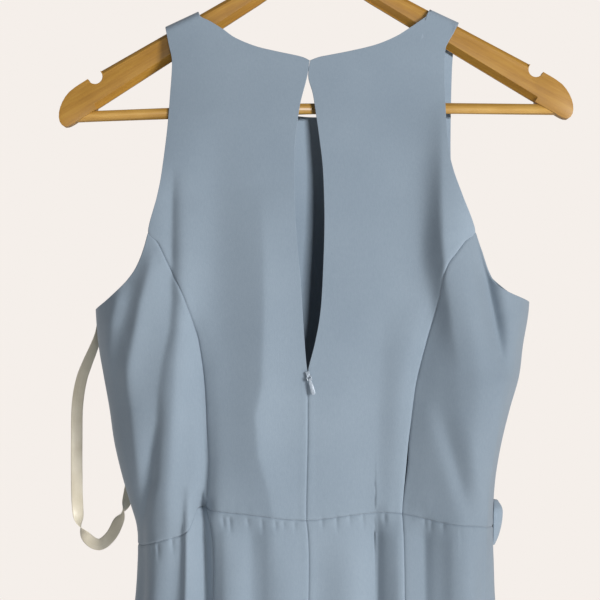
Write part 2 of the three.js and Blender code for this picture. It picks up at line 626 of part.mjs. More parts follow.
function barPath(from, to) {
  const list = [];
  const steps = 12;
  for (let i = 0; i <= steps; i += 1) {
    const x = from + ((to - from) * i) / steps;
    list.push(new THREE.Vector3(x, 0, BAR_MIDDLE_Z - BAR_END_DROP * (x / BAR_END) ** 2));
  }
  return new THREE.CatmullRomCurve3(list);
}

add('hanger_board', fromSolid(board()), wood, hanger);
add('hanger_bar', rod(barPath(-BAR_END, BAR_END), BAR_RADIUS, 12, 16), wood, hanger);

// The hook: a straight shank out of the board, a short bend sideways and most of a circle over the rail
function hookPath() {
  const radius = HOOK_INNER_RADIUS + HOOK_WIRE_RADIUS;
  const list = [new THREE.Vector3(0, 0, ARM.middle - HOOK_SOCKET_DEPTH + SOCKET_PLAY)];
  list.push(new THREE.Vector3(0, 0, -70), new THREE.Vector3(0, 0, -58), new THREE.Vector3(4.5, 0, -46.5));
  for (let degrees = -42; degrees <= 200; degrees += 22) {
    const angle = degrees * DEGREE;
    list.push(new THREE.Vector3(radius * Math.cos(angle), 0, radius * Math.sin(angle) - HOOK_INNER_RADIUS));
  }
  return new THREE.CatmullRomCurve3(list, false, 'centripetal');
}
add('hanger_hook', rod(hookPath(), HOOK_WIRE_RADIUS, 44, 10), steel, hanger);

// The zip's tape lies behind the centre-back seam, from the keyhole down into the skirt
const tapeGrid = shares([0], 14).map((share) => {
  const z = ZIP.top + (ZIP.bottom - ZIP.top) * share;
  return [-1, -0.5, 0, 0.5, 1].map((side) => {
    const degrees = SEAM_DEGREES.centre + side * ZIP.halfDegrees;
    return new THREE.Vector2(degrees * DEGREE, z);
  });
});
piece('zip_tape', tapeGrid, {}, enamel, ZIP.thickness, -(CLOTH + ZIP.thickness) / 2 - SEAM_GAP);

// A rounded plate in x and z, centred on its top edge
function plate(width, height, thickness, rounding) {
  const shape = new THREE.Shape();
  const half = width / 2;
  shape.moveTo(-half, 0);
  shape.lineTo(-half, rounding - height);
  shape.absarc(rounding - half, rounding - height, rounding, Math.PI, 1.5 * Math.PI);
  shape.absarc(half - rounding, rounding - height, rounding, 1.5 * Math.PI, 2 * Math.PI);
  shape.lineTo(half, 0);
  const flat = new THREE.ExtrudeGeometry(shape, { depth: thickness, bevelEnabled: false, curveSegments: 6 });
  return upright(flat, thickness);
}

// The slider sits on the seam's top end; two ears below it hold the pin that the pull tab swings on
const sliderFace = surface(angleAt(CENTRE_BACK_X, SLIDER.z, 'back'), SLIDER.z).y - CLOTH / 2 - SEAM_GAP;
const PIN = { z: -6.7, y: -2.3, span: 3.6 };
const EAR = { width: 0.8, depth: 2.8, height: 3.6, y: -1.8, z: -6 };
const fastening = new THREE.Group();
fastening.position.set(-4.3, sliderFace, SLIDER.z + SLIDER.height / 2);
fastening.rotation.y = -TAB.tilt * DEGREE;
root.add(fastening);

function slider() {
  const body = plate(SLIDER.width, SLIDER.height, SLIDER.depth, 0.8).translate(0, -SLIDER.depth / 2, 0);
  let shape = solid(body);
  const pin = new THREE.CylinderGeometry(TAB.pin, TAB.pin, PIN.span, 12).rotateZ(Math.PI / 2);
  for (const side of [-1, 1]) {
    const ear = new THREE.BoxGeometry(EAR.width, EAR.depth, EAR.height);
    shape = shape.add(solid(ear.translate(side * (PIN.span / 2), EAR.y, EAR.z)));
  }
  return fromSolid(shape.add(solid(pin.translate(0, PIN.y, PIN.z))));
}
add('zip_slider', slider(), enamel, fastening);

function pullTab() {
  const barrelLength = 2.1;
  const ring = new THREE.LatheGeometry(points([
    [TAB.hole, -barrelLength / 2], [TAB.eye, -barrelLength / 2],
    [TAB.eye, barrelLength / 2], [TAB.hole, barrelLength / 2], [TAB.hole, -barrelLength / 2],
  ]), 20).rotateZ(Math.PI / 2);
  const neck = new THREE.BoxGeometry(barrelLength, TAB.thickness, 2.4).translate(0, 0, -TAB.eye - 0.9);
  const blade = plate(TAB.width, TAB.length - TAB.eye - 1.4, TAB.thickness, 1.5).translate(0, 0, -TAB.eye - 1.4);
  return fromSolid(solid(ring).add(solid(neck)).add(solid(blade)));
}
const tab = add('zip_pull', pullTab(), enamel, fastening);
tab.position.set(0, PIN.y, PIN.z);

// The neck's hook lies flat behind the two back edges where they meet
const neckFace = surface(angleAt(-3.9, NECK_HOOK.z, 'back'), NECK_HOOK.z).y + CLOTH / 2 + SEAM_GAP;
add('neck_hook', plate(NECK_HOOK.width, NECK_HOOK.height, NECK_HOOK.thickness, 1.2), steel)
  .position.set(-3.9, neckFace + 0.9 + NECK_HOOK.thickness / 2, NECK_HOOK.z + NECK_HOOK.height / 2);

// The ribbon hanging loop: out over the left underarm, down beside the skirt's top and back up in front
const RIBBON_PATH = [
  [-184.7, 14.2, -398], [-186.4, 13.6, -412], [-190.5, 12, -425], [-195.5, 8, -438], [-200.5, 5, -453],
  [-204, 5, -475], [-204.6, 5, -505], [-204.6, 5, -535], [-204.2, 6, -560], [-202, 7, -578],
  [-195, 9, -592], [-185.5, 11, -597], [-176, 14, -590], [-169.5, 20, -577], [-163, 28, -560],
  [-160, 34, -540], [-162, 37, -510], [-167, 37, -475], [-173, 35, -450], [-178, 29.6, -425], [-179.7, 26.6, -404],
].map(([x, y, z]) => new THREE.Vector3(x, y, z));

function ribbon() {
  const path = new THREE.CatmullRomCurve3(RIBBON_PATH);
  const middle = [];
  const normals = [];
  const steps = 52;
  for (let i = 0; i <= steps; i += 1) {
    const at = path.getPointAt(i / steps);
    const run = path.getTangentAt(i / steps);
    const sewn = THREE.MathUtils.smoothstep(Math.abs(i / steps - 0.5), 0.3, 0.5);
    const face = new THREE.Vector3(0.25 + 0.65 * sewn, -1 + 0.55 * sewn, 0);
    face.addScaledVector(run, -face.dot(run)).normalize();
    const across = face.clone().cross(run).normalize();
    middle.push([-0.5, 0, 0.5].map((side) => at.clone().addScaledVector(across, side * RIBBON.width)));
    normals.push([face, face, face]);
  }
  return sheet(middle, normals, RIBBON.thickness);
}
add('hanging_loop', ribbon(), satin);

// The knot at the wearer's right, where the front is drawn together, and the folded end behind it
const KNOT = { degrees: 106, z: -573, across: 12, high: 15, out: 8 };
function onSide(degrees, z, lift) {
  const theta = degrees * DEGREE;
  return surface(theta, z).addScaledVector(normal(theta, z), CLOTH / 2 + SEAM_GAP + lift);
}

function knot() {
  const geometry = new THREE.SphereGeometry(1, 24, 16);
  const place = geometry.attributes.position;
  const out = normal(KNOT.degrees * DEGREE, KNOT.z);
  const across = new THREE.Vector3(0, 0, 1).cross(out).normalize();
  const up = out.clone().cross(across);
  const middle = onSide(KNOT.degrees, KNOT.z, KNOT.out + 0.2);
  for (let i = 0; i < place.count; i += 1) {
    const p = new THREE.Vector3().fromBufferAttribute(place, i);
    const twist = 1 + 0.1 * Math.sin(6 * Math.atan2(p.z, p.x) + 5 * p.y) * (1 - p.y * p.y);
    const q = middle.clone()
      .addScaledVector(across, p.x * KNOT.across * twist)
      .addScaledVector(up, p.y * KNOT.high)
      .addScaledVector(out, p.z * KNOT.out * twist);
    place.setXYZ(i, q.x, q.y, q.z);
  }
  return geometry;
}
add('waist_knot', knot(), crepe);

// The folded end bulges off the side seam and closes on it again: how far out, row by row
const KNOT_END = table(['z', 'start', 'end', 'bulge'], [
  [-556, 88, 91, 4], [-562, 84, 93, 8], [-570, 83, 93, 8.5], [-578, 83, 93, 7.5], [-586, 84, 92, 5.5],
  [-594, 86, 91, 2.5],
]);
function knotEnd() {
  const middle = KNOT_END.map((row) => shares([0], 8).map((share) => {
    const degrees = row.start + (row.end - row.start) * share;
    return onSide(degrees, row.z, 0.8 + row.bulge * Math.sin(Math.PI * share));
  }));
  const normals = middle.map((row, i) => row.map((p, j) => {
    const up = middle[Math.max(i - 1, 0)][j].clone().sub(middle[Math.min(i + 1, middle.length - 1)][j]);
    const right = row[Math.min(j + 1, row.length - 1)].clone().sub(row[Math.max(j - 1, 0)]);
    return right.cross(up).normalize();
  }));
  return sheet(middle, normals, CLOTH);
}
add('waist_knot_end', knotEnd(), crepe);

export default root;
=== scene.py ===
"""Sleeveless floor-length dress of dusty-blue crepe with a keyhole back, on a wooden hanger."""
import math

import bmesh
import bpy
import numpy as np
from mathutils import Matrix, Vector


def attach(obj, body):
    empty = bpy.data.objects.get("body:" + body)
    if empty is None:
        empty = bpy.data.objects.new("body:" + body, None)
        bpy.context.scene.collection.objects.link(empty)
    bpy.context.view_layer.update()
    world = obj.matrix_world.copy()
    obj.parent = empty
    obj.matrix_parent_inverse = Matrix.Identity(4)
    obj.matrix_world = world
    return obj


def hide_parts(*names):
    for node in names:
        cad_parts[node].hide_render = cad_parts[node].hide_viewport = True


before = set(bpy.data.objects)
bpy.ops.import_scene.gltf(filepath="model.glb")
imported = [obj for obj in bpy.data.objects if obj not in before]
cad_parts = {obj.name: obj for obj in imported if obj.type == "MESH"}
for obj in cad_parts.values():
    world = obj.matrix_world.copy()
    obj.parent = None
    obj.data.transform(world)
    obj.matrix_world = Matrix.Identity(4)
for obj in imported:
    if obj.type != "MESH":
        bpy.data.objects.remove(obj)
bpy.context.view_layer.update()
MM = 0.001
DRESS = "dress"

# Back of the bodice
# Two panels of matt crepe, cut in mirror image, meet at a hook at the nape, part along a long
# keyhole and are sewn together below it. Both roll over the hanger's arms at the shoulders.
HEM_Z = -1654
SHOULDER_ROLL = 6
CENTRE_BACK_X = -4
CLOTH = 1.2
GIRTH = np.array([
    # z, left, right, back, front
    (-125, -187, 188, 9, 9),
    (-150, -187, 188, 14, 14),
    (-178, -187, 188, 23, 24),
    (-210, -187, 188, 33, 37),
    (-250, -187, 188, 44, 54),
    (-300, -187, 188, 53, 74),
    (-345, -187, 188, 59, 88),
    (-392, -186, 186, 62, 94),
    (-422, -183.5, 181, 63, 93),
    (-449, -179, 177.5, 62, 90),
    (-477, -174, 169.5, 61, 86),
    (-505, -170, 162.5, 59, 82),
    (-533, -163.5, 157.5, 58, 79),
    (-557, -156.5, 155.4, 58, 78),
    (-578, -150.2, 154.7, 58, 78),
    (-600, -148.5, 154.7, 59, 79),
    (-644, -150.5, 156, 62, 83),
    (-750, -164, 168, 69, 90),
    (-900, -182, 186, 79, 99),
    (-1150, -212, 216, 95, 112),
    (-1400, -240, 244, 109, 123),
    (HEM_Z, -266, 270, 122, 134),
])
SHOULDER_LEFT = (-98, -134)
SHOULDER_RIGHT = (102, -132.2)
SHOULDER_FALL = 0.47
# The hanging back lies flatter than an ellipse: added to the exponent of its cross-section
BACK_FLATNESS = 1.0

# Creases: side, reach to the left, reach to the right, radius of the crest, and the crest's line as
# (x, z, height outwards)
CREASES = [
    # From the left armhole down beside the seam to the waist
    ("back", 60, 15, 5, [
        (-108, -300, 0), (-110, -340, 2), (-112, -380, 5), (-114, -420, 9), (-116, -455, 12),
        (-118, -485, 13), (-120, -515, 12), (-123, -545, 10), (-124, -580, 8), (-124, -650, 5),
        (-126, -740, 0),
    ]),
    ("back", 14, 5, 1.6, [
        (-117, -270, 0), (-118, -300, -3), (-118, -345, -4), (-117.5, -384, -3.5), (-119, -408, -3),
        (-125, -434, -2), (-129, -459, -2), (-129.5, -484, -3.5), (-133, -509, -6), (-135.6, -534, -8),
        (-139.8, -551, -7), (-144, -576, -5), (-146, -610, 0),
    ]),
    # Under the left arm
    ("back", 8, 16, 2, [
        (-133, -338, 0), (-136, -358, 4), (-143, -384, 6), (-147.5, -408, 7), (-152.5, -434, 5),
        (-156, -459, 2), (-158, -475, 0),
    ]),
    ("back", 8, 16, 2, [
        (-157, -400, 0), (-156, -440, 4), (-151, -480, 5), (-147, -520, 4), (-143, -560, 0),
    ]),
    ("back", 8, 12, 3, [
        (-157, -368, 0), (-164, -384, 5), (-169, -403, 6), (-171, -428, 4), (-171, -455, 0),
    ]),
    # The hollow of the left princess seam
    ("back", 8, 8, 1.5, [
        (-104, -384, 0), (-99, -405, -3), (-93, -436, -4), (-90, -480, -4), (-89, -520, -6),
        (-91, -556, -8),
    ]),
    # Between the two princess seams
    ("back", 22, 26, 12, [
        (-81, -225, 0), (-81, -290, -4), (-80, -340, -4), (-80, -390, -3), (-81, -430, -2),
        (-82, -490, 0),
    ]),
    ("back", 30, 26, 1.8, [
        (-44, -290, 0), (-42, -320, 2.4), (-40.6, -350, 4), (-40.4, -400, 6), (-42, -454, 7.5),
        (-47.5, -480, 8), (-45, -513, 7.5), (-36, -545, 5), (-32, -575, 3.5), (-32, -630, 2),
        (-32, -720, 0),
    ]),
    ("back", 44, 16, 8, [
        (60, -380, 0), (56, -430, -3.5), (54, -480, -5), (54, -530, -5), (53, -560, -3),
    ]),
    # From the right shoulder and armhole down past the waist
    ("back", 11, 50, 2.5, [
        (110, -215, 0), (109, -260, 4), (108, -300, 9), (108, -330, 13), (109, -345, 14), (112, -375, 11),
        (117, -410, 6), (124, -445, 0),
    ]),
    ("back", 34, 60, 9, [
        (122, -190, 2), (124, -240, 7), (128, -290, 10), (133, -330, 12), (138, -370, 14),
        (140, -410, 17), (139, -450, 18), (137, -490, 18), (134, -530, 17), (129, -570, 15),
        (128, -640, 9), (128, -730, 0),
    ]),
    ("back", 26, 9, 4, [
        (166, -390, 0), (162, -420, 5), (157, -460, 8), (152, -500, 8), (149, -540, 7), (146, -580, 6),
        (145, -640, 4), (146, -720, 0),
    ]),
    ("back", 10, 12, 2, [
        (107, -362, 0), (103, -390, -3), (95, -420, -4), (88, -446, -4), (83, -480, -4), (80, -520, -3.5),
        (78, -558, -3),
    ]),
    # The right side back
    ("back", 15, 8, 2.5, [
        (134, -322, -3), (139, -345, -10), (145.2, -366, -15), (152.3, -400, -15), (158, -430, -9),
        (161, -452, 0),
    ]),
    ("back", 20, 14, 5, [(119, -420, 0), (119, -450, 2.5), (122, -490, 2), (127, -520, 0)]),
    ("back", 20, 10, 4, [(92, -464, 0), (99, -490, 2.4), (112.9, -535, 3.4), (122, -564, 1.5)]),
    ("back", 8, 7, 3, [(104, -466, 0), (113, -500, -1.6), (123, -536, -2.4), (131.4, -566, -1)]),
    ("back", 9, 9, 4, [(126, -476, 0), (133, -508, 2), (139.5, -537, 3), (149, -565, 1)]),
    # Below the waist, from the left to the right
    ("back", 11, 5, 1, [
        (-91, -556, -8), (-89.6, -585, -10), (-89, -640, -9), (-89, -720, -3), (-89, -800, 0),
    ]),
    ("back", 2.4, 8, 0.8, [
        (-104, -536, 0), (-104.4, -556, 3.4), (-105, -577, 5), (-105.6, -636, 3.4), (-106, -740, 0),
    ]),
    ("back", 8, 12, 3, [(-73.6, -566, 0), (-73.6, -582, 2.6), (-73.6, -650, 2.8), (-72, -780, 0)]),
    ("back", 9, 6, 3, [(-51.2, -566, 0), (-51.2, -582, -1.4), (-51.2, -650, -1.2), (-50, -760, 0)]),
    ("back", 5, 12, 3, [(-36.2, -568, 0), (-36.2, -584, 1.2), (-36.2, -650, 1), (-36, -760, 0)]),
    ("back", 26, 6, 2, [(53, -560, -2), (54, -582, -6), (54, -650, -6), (54, -780, 0)]),
    ("back", 8, 12, 3, [(71, -566, 0), (71, -584, 2.6), (72, -650, 3), (74, -760, 0)]),
    ("back", 11, 7, 2.4, [(93, -566, -1.5), (93.5, -584, -5), (94, -650, -5.5), (96, -780, 0)]),
    ("back", 8, 22, 3, [(117, -566, 0), (117.5, -586, 3), (118, -650, 3), (120, -760, 0)]),
    # The front, drawn towards the knot
    ("front", 10, 10, 8, [(-120, -290, 0), (-116, -345, -5), (-112, -400, 0)]),
    ("front", 16, 16, 12, [(-60, -300, 0), (-50, -360, -3), (-40, -420, 0)]),
    ("front", 16, 16, 12, [(60, -300, 0), (61, -350, -3), (62, -400, 0)]),
    ("front", 10, 10, 8, [(118, -290, 0), (117, -345, -5), (116, -400, 0)]),
    ("front", 8, 8, 3, [(130, -556, 4), (100, -545, 6), (70, -528, 4), (20, -500, 0)]),
    ("front", 8, 8, 3, [(128, -540, 4), (100, -506, 5.5), (66, -470, 3), (30, -430, 0)]),
    ("front", 8, 8, 3, [(131, -530, 3), (112, -480, 4.5), (96, -450, 3), (78, -410, 0)]),
    ("front", 8, 8, 3, [(128, -583, 4), (100, -606, 6), (70, -635, 4), (40, -665, 0)]),
    ("front", 8, 8, 3, [(131, -593, 4), (114, -640, 6), (98, -690, 4), (84, -730, 0)]),
]

# Ridges of the skirt's flutes: degrees round from the centre back, height at the hem
FLUTES = np.array([
    (-112, 19), (-88, 17), (-62, 19), (-42.5, 20), (-26, 16), (-9, 15), (11, 17), (30, 19), (56, 21),
    (80, 18), (103, 20), (127, 19), (150, 17), (174, 18), (198, 17), (222, 20), (248, 19), (272, 17),
])
FLUTE_START_Z = -560
FLUTE_TOP_SHARE = 0.04
FLUTE_TOP_LENGTH = 60

WAIST = np.array([
    # degrees, z
    (-91, -594), (-75, -592), (-55, -584), (-44.7, -577.5), (-38, -558.5), (-32.8, -560), (-20, -563),
    (-2.4, -567.5), (11, -564), (26, -561.5), (43, -569), (65, -573), (90, -577.5), (110, -577),
    (140, -572), (180, -570), (220, -578), (250, -588), (271, -594),
])

# Small puckers just under the waist seam: x, z of the seam, length, depth
PUCKERS = [
    (-133.5, -592, 9, -1.2), (-129, -590, 14, -1.5), (-118, -585, 12, -1.4), (-97, -562, 7, -1.3),
    (-94, -562, 6, -1.1), (-74.5, -567, 9, -1.4), (-69, -567, 13, -1.6), (-54, -567.5, 8, -1),
    (-42, -568, 12, -1), (-31, -569, 8, -1.3), (-24, -569.5, 6, -0.9), (-15, -569.5, 7, -1),
    (8, -567, 9, -0.9), (20, -566, 12, -1.1), (31, -565, 8, -0.9), (42, -564.5, 12, -1),
    (60.5, -564, 9, -1.3), (82, -565, 7, -0.9), (94, -567, 8, -1.5), (99, -568, 12, -1.5),
    (109, -570, 8, -1.1), (133, -573, 9, -0.9),
]
for pucker_x, seam_z, length, depth in PUCKERS:
    dent = [(pucker_x, seam_z + 4, 0), (pucker_x, seam_z - 1, depth), (pucker_x + 0.6, seam_z - length, 0)]
    CREASES.append(("back", 1.5, 1.9, 0.7, dent))


def smooth_column(keys, values):
    """A smooth curve through a table's column, with the slope at each row taken from its neighbours"""
    order = np.argsort(keys)
    keys = np.asarray(keys, float)[order]
    values = np.asarray(values, float)[order]
    before = np.maximum(np.arange(len(keys)) - 1, 0)
    after = np.minimum(np.arange(len(keys)) + 1, len(keys) - 1)
    slopes = (values[after] - values[before]) / (keys[after] - keys[before])

    def at(key):
        key = np.clip(key, keys[0], keys[-1])
        i = np.clip(np.searchsorted(keys, key) - 1, 0, len(keys) - 2)
        span = keys[i + 1] - keys[i]
        u = (key - keys[i]) / span
        smooth = u * u * (3 - 2 * u)
        bend = slopes[i] * span * u * (1 - u) ** 2 - slopes[i + 1] * span * u * u * (1 - u)
        return values[i] * (1 - smooth) + values[i + 1] * smooth + bend

    return at


left_side, right_side, back_depth, front_depth = [
    smooth_column(GIRTH[:, 0], GIRTH[:, column]) for column in (1, 2, 3, 4)
]
waist = smooth_column(WAIST[:, 0], WAIST[:, 1])


def smoothstep(value, low, high):
    u = np.clip((value - low) / (high - low), 0, 1)
    return u * u * (3 - 2 * u)


def shoulder_line(x):
    left = SHOULDER_LEFT[1] - SHOULDER_FALL * (-x + SHOULDER_LEFT[0])
    right = SHOULDER_RIGHT[1] - SHOULDER_FALL * (x - SHOULDER_RIGHT[0])
    return np.where(x < 0, left, right)


def flutes(theta, z):
    degrees = np.degrees(theta)
    i = np.clip(np.searchsorted(FLUTES[:, 0], degrees, side="right") - 1, 0, len(FLUTES) - 2)
    u = (degrees - FLUTES[i, 0]) / (FLUTES[i + 1, 0] - FLUTES[i, 0])
    height = FLUTES[i, 1] + (FLUTES[i + 1, 1] - FLUTES[i, 1]) * u
    fallen = np.maximum(FLUTE_START_Z - z, 0)
    start = smoothstep(fallen, 0, FLUTE_TOP_LENGTH) * FLUTE_TOP_SHARE
    growth = fallen / (FLUTE_START_Z - HEM_Z) * (1 - FLUTE_TOP_SHARE)
    return height * (start + growth) * np.cos(2 * math.pi * u)


def creases(x, z, facing):
    """How far the cloth stands out of the smooth body, in millimetres"""
    total = np.zeros_like(x)
    for side, left_reach, right_reach, radius, line in CREASES:
        nearest = np.full(x.shape, 1e9)
        height = np.zeros_like(x)
        to_right = np.zeros(x.shape, bool)
        for (x1, z1, h1), (x2, z2, h2) in zip(line, line[1:]):
            dx, dz = x2 - x1, z2 - z1
            along = np.clip(((x - x1) * dx + (z - z1) * dz) / (dx * dx + dz * dz), 0, 1)
            crest_x = x1 + along * dx
            off = np.hypot(x - crest_x, z - z1 - along * dz)
            closer = off < nearest
            nearest = np.where(closer, off, nearest)
            height = np.where(closer, h1 + (h2 - h1) * along, height)
            to_right = np.where(closer, x > crest_x, to_right)
        reach = np.where(to_right, right_reach, left_reach)
        off = (np.hypot(nearest, radius) - radius) / reach
        share = facing if side == "back" else -facing
        total += height * np.exp(-off * (1 + 0.6 * off)) * np.clip(share * 3, 0, 1)
    return total


def body(theta, z):
    """Points in millimetres of the cloth's middle surface, by the angle round from the centre back"""
    left = left_side(z)
    half = (right_side(z) - left) / 2
    x = left + half + half * np.sin(theta)
    facing = np.cos(theta)
    depth = np.where(facing > 0, back_depth(z), front_depth(z))
    flatness = 2 + BACK_FLATNESS * smoothstep(-z, 185, 270) * (1 - smoothstep(-z, 620, 900))
    flatness = np.where(facing > 0, flatness, 2)
    share = np.sign(facing) * np.clip(1 - np.abs(np.sin(theta)) ** flatness, 0, 1) ** (1 / flatness)
    drop = np.clip((shoulder_line(x) - z) / SHOULDER_ROLL, 0, 1)
    roll = np.sqrt(1 - (1 - drop) ** 2)
    out_x = depth * np.sin(theta)
    out_y = -half * facing
    size = np.hypot(out_x, out_y)
    raised = flutes(theta, z) * roll / size
    lifted = (depth * share + np.sign(facing) * creases(x, z, facing)) * roll
    return np.stack([x + out_x * raised, out_y * raised - lifted, z + 0 * x], -1)


def body_normal(theta, z, angle_step=math.radians(0.2), height_step=0.6):
    across = body(theta + angle_step, z) - body(theta - angle_step, z)
    upwards = body(theta, z + height_step) - body(theta, z - height_step)
    normal = np.cross(across, upwards)
    normal /= np.linalg.norm(normal, axis=-1, keepdims=True)
    here = body(theta, z)
    on_top = shoulder_line(here[..., 0]) - z < 0.15
    top = np.stack([np.sign(here[..., 0]) * SHOULDER_FALL, 0 * z, 1 + 0 * z], -1)
    top /= np.linalg.norm(top, axis=-1, keepdims=True)
    return np.where(on_top[..., None], top, normal)


def angle_at(x, z, side):
    left = left_side(z)
    half = (right_side(z) - left) / 2
    angle = np.arcsin(np.clip((x - left - half) / half, -1, 1))
    return angle if side == "back" else math.pi - angle


def curve(points, steps=24):
    """A dense smooth line through given points"""
    points = np.asarray(points, float)
    before = np.vstack([points[:1], points[:-1]])
    after = np.vstack([points[1:], points[-1:]])
    slope = (after - before) / 2
    u = np.linspace(0, 1, steps, endpoint=False)[:, None]
    parts = []
    for i in range(len(points) - 1):
        p, q, v, w = points[i], points[i + 1], slope[i], slope[i + 1]
        parts.append((2 * p - 2 * q + v + w) * u**3 + (-3 * p + 3 * q - 2 * v - w) * u**2 + v * u + p)
    return np.vstack([*parts, points[-1:]])


def at_shares(line, shares):
    length = np.concatenate([[0], np.cumsum(np.linalg.norm(np.diff(line, axis=0), axis=1))])
    return np.stack([np.interp(np.asarray(shares) * length[-1], length, line[:, k]) for k in (0, 1)], -1)


def at_heights(line, shares):
    """Points of a falling line at given shares of its drop"""
    z = line[0, 1] + (line[-1, 1] - line[0, 1]) * np.asarray(shares)
    return np.stack([np.interp(-z, -line[:, 1], line[:, 0]), z], -1)


def on_body(points, side):
    return np.stack([angle_at(points[:, 0], points[:, 1], side), points[:, 1]], -1)


def close_at_ends(count, width, near=(0.35, 0.8, 1.5, 2.6, 4.5)):
    """Shares from 0 to 1, close together at the sewn or turned edges"""
    ends = [0] + [d / width for d in near]
    middle = np.linspace(ends[-1], 1 - ends[-1], count)
    return np.array([*ends[:-1], *middle, *[1 - e for e in reversed(ends[:-1])]])


SMOOTHING_PASSES = 300
CORNER_REACH = 0.09


def eased(edge):
    """A side edge with its corners smoothed, for the cloth away from it"""
    line = edge.copy()
    for _ in range(SMOOTHING_PASSES):
        line[1:-1, 0] = (line[:-2, 0] + 2 * line[1:-1, 0] + line[2:, 0]) / 4
    return line


def fill(top, bottom, left, right):
    """A grid of (angle, z) between four edges, whose side corners die out within a few centimetres"""
    t = ((left[0, 1] - left[:, 1]) / (left[0, 1] - left[-1, 1])
         + (right[0, 1] - right[:, 1]) / (right[0, 1] - right[-1, 1])) / 2
    t = t[:, None, None]
    s = top_share(top, bottom)[None, :, None]
    soft_left, soft_right = eased(left)[:, None], eased(right)[:, None]
    sides = (1 - s) * soft_left + s * soft_right
    sides = sides + np.exp(-s / CORNER_REACH) * (left[:, None] - soft_left)
    sides = sides + np.exp((s - 1) / CORNER_REACH) * (right[:, None] - soft_right)
    ends = (1 - t) * top[None] + t * bottom[None]
    corners = ((1 - s) * (1 - t) * top[0] + s * (1 - t) * top[-1]
               + (1 - s) * t * bottom[0] + s * t * bottom[-1])
    return sides + ends - corners


def top_share(top, bottom):
    return (bottom[:, 0] - bottom[0, 0]) / (bottom[-1, 0] - bottom[0, 0])


def mesh_object(name, vertices, faces, flat_from, material):
    mesh = bpy.data.meshes.new(name)
    mesh.from_pydata((np.asarray(vertices) * MM).tolist(), [], faces)
    smooth = np.ones(len(faces), bool)
    if flat_from is not None:
        smooth[flat_from:] = False
    mesh.polygons.foreach_set("use_smooth", smooth)
    mesh.update()
    made = bpy.data.objects.new(name, mesh)
    bpy.context.scene.collection.objects.link(made)
    mesh.materials.append(material)
    return made


def shell(name, middle, normals, thickness, material):
    """A closed thin wall round a grid of middle points"""
    rows, columns = middle.shape[:2]
    outer = middle + normals * thickness / 2
    inner = middle - normals * thickness / 2
    vertices = np.concatenate([outer.reshape(-1, 3), inner.reshape(-1, 3)])
    i, j = np.meshgrid(np.arange(rows - 1), np.arange(columns - 1), indexing="ij")
    a = (i * columns + j).ravel()
    other = rows * columns
    faces = np.concatenate([
        np.stack([a, a + columns, a + columns + 1, a + 1], -1),
        np.stack([a, a + 1, a + columns + 1, a + columns], -1) + other,
    ])
    border = np.concatenate([
        np.arange(columns - 1),
        np.arange(rows - 1) * columns + columns - 1,
        (rows - 1) * columns + np.arange(columns - 1, 0, -1),
        np.arange(rows - 1, 0, -1) * columns,
    ])
    onward = np.roll(border, -1)
    rim = np.stack([border, onward, onward + other, border + other], -1)
    flat_from = len(faces)
    faces = np.concatenate([faces, rim]).tolist()
    return mesh_object(name, vertices, faces, flat_from, material)


# Millimetres that a seam dips, that the cloth swells beside it, and that its puckers rise
SEAM_DIP = 0.75
SEAM_SWELL = 0.14
SEAM_PUCKER = 0.1


def cloth(name, grid, seams, node):
    """A panel on the body: its sewn edges turn in, and the cloth swells and puckers beside them"""
    theta = grid[..., 0]
    z = grid[..., 1]
    middle = body(theta, z)
    normals = body_normal(theta, z)
    across = np.linalg.norm(np.diff(middle, axis=1), axis=-1)
    down = np.linalg.norm(np.diff(middle, axis=0), axis=-1)
    rows, columns = theta.shape
    from_left = np.concatenate([np.zeros((rows, 1)), np.cumsum(across, axis=1)], axis=1)
    from_top = np.concatenate([np.zeros((1, columns)), np.cumsum(down, axis=0)], axis=0)
    distance = {
        "left": from_left,
        "right": from_left[:, -1:] - from_left,
        "top": from_top,
        "bottom": from_top[-1:] - from_top,
    }
    raised = np.zeros_like(z)
    for edge, sewn in seams.items():
        off = distance[edge]
        where = sewn if np.ndim(sewn) else np.ones_like(z) * float(sewn)
        along = z if edge in ("left", "right") else middle[..., 0]
        pucker = np.sin(along / 1.9 + 2.0 * np.sin(along / 11)) + 0.6 * np.sin(along / 4.3 + 1)
        raised += where * (
            -SEAM_DIP * np.exp(-(off / 0.75) ** 2)
            + SEAM_SWELL * np.exp(-((off - 3.6) / 2.4) ** 2)
            + SEAM_PUCKER * pucker * np.exp(-off / 5)
        )
    middle = middle + normals * raised[..., None]
    made = shell(name, middle, normals, CLOTH, crepe)
    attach(made, DRESS)
    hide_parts(node)
    return made


class Wire:
    """A shader socket that sums and products can be written with"""

    def __init__(self, finish, socket):
        self.finish = finish
        self.socket = socket

    def math(self, operation, a, b):
        return self.finish.node("ShaderNodeMath", {"operation": operation}, {0: a, 1: b})["Value"]

    def __add__(self, other):
        return self.math("ADD", self, other)

    def __radd__(self, other):
        return self.math("ADD", other, self)

    def __mul__(self, other):
        return self.math("MULTIPLY", self, other)

    def __rmul__(self, other):
        return self.math("MULTIPLY", other, self)


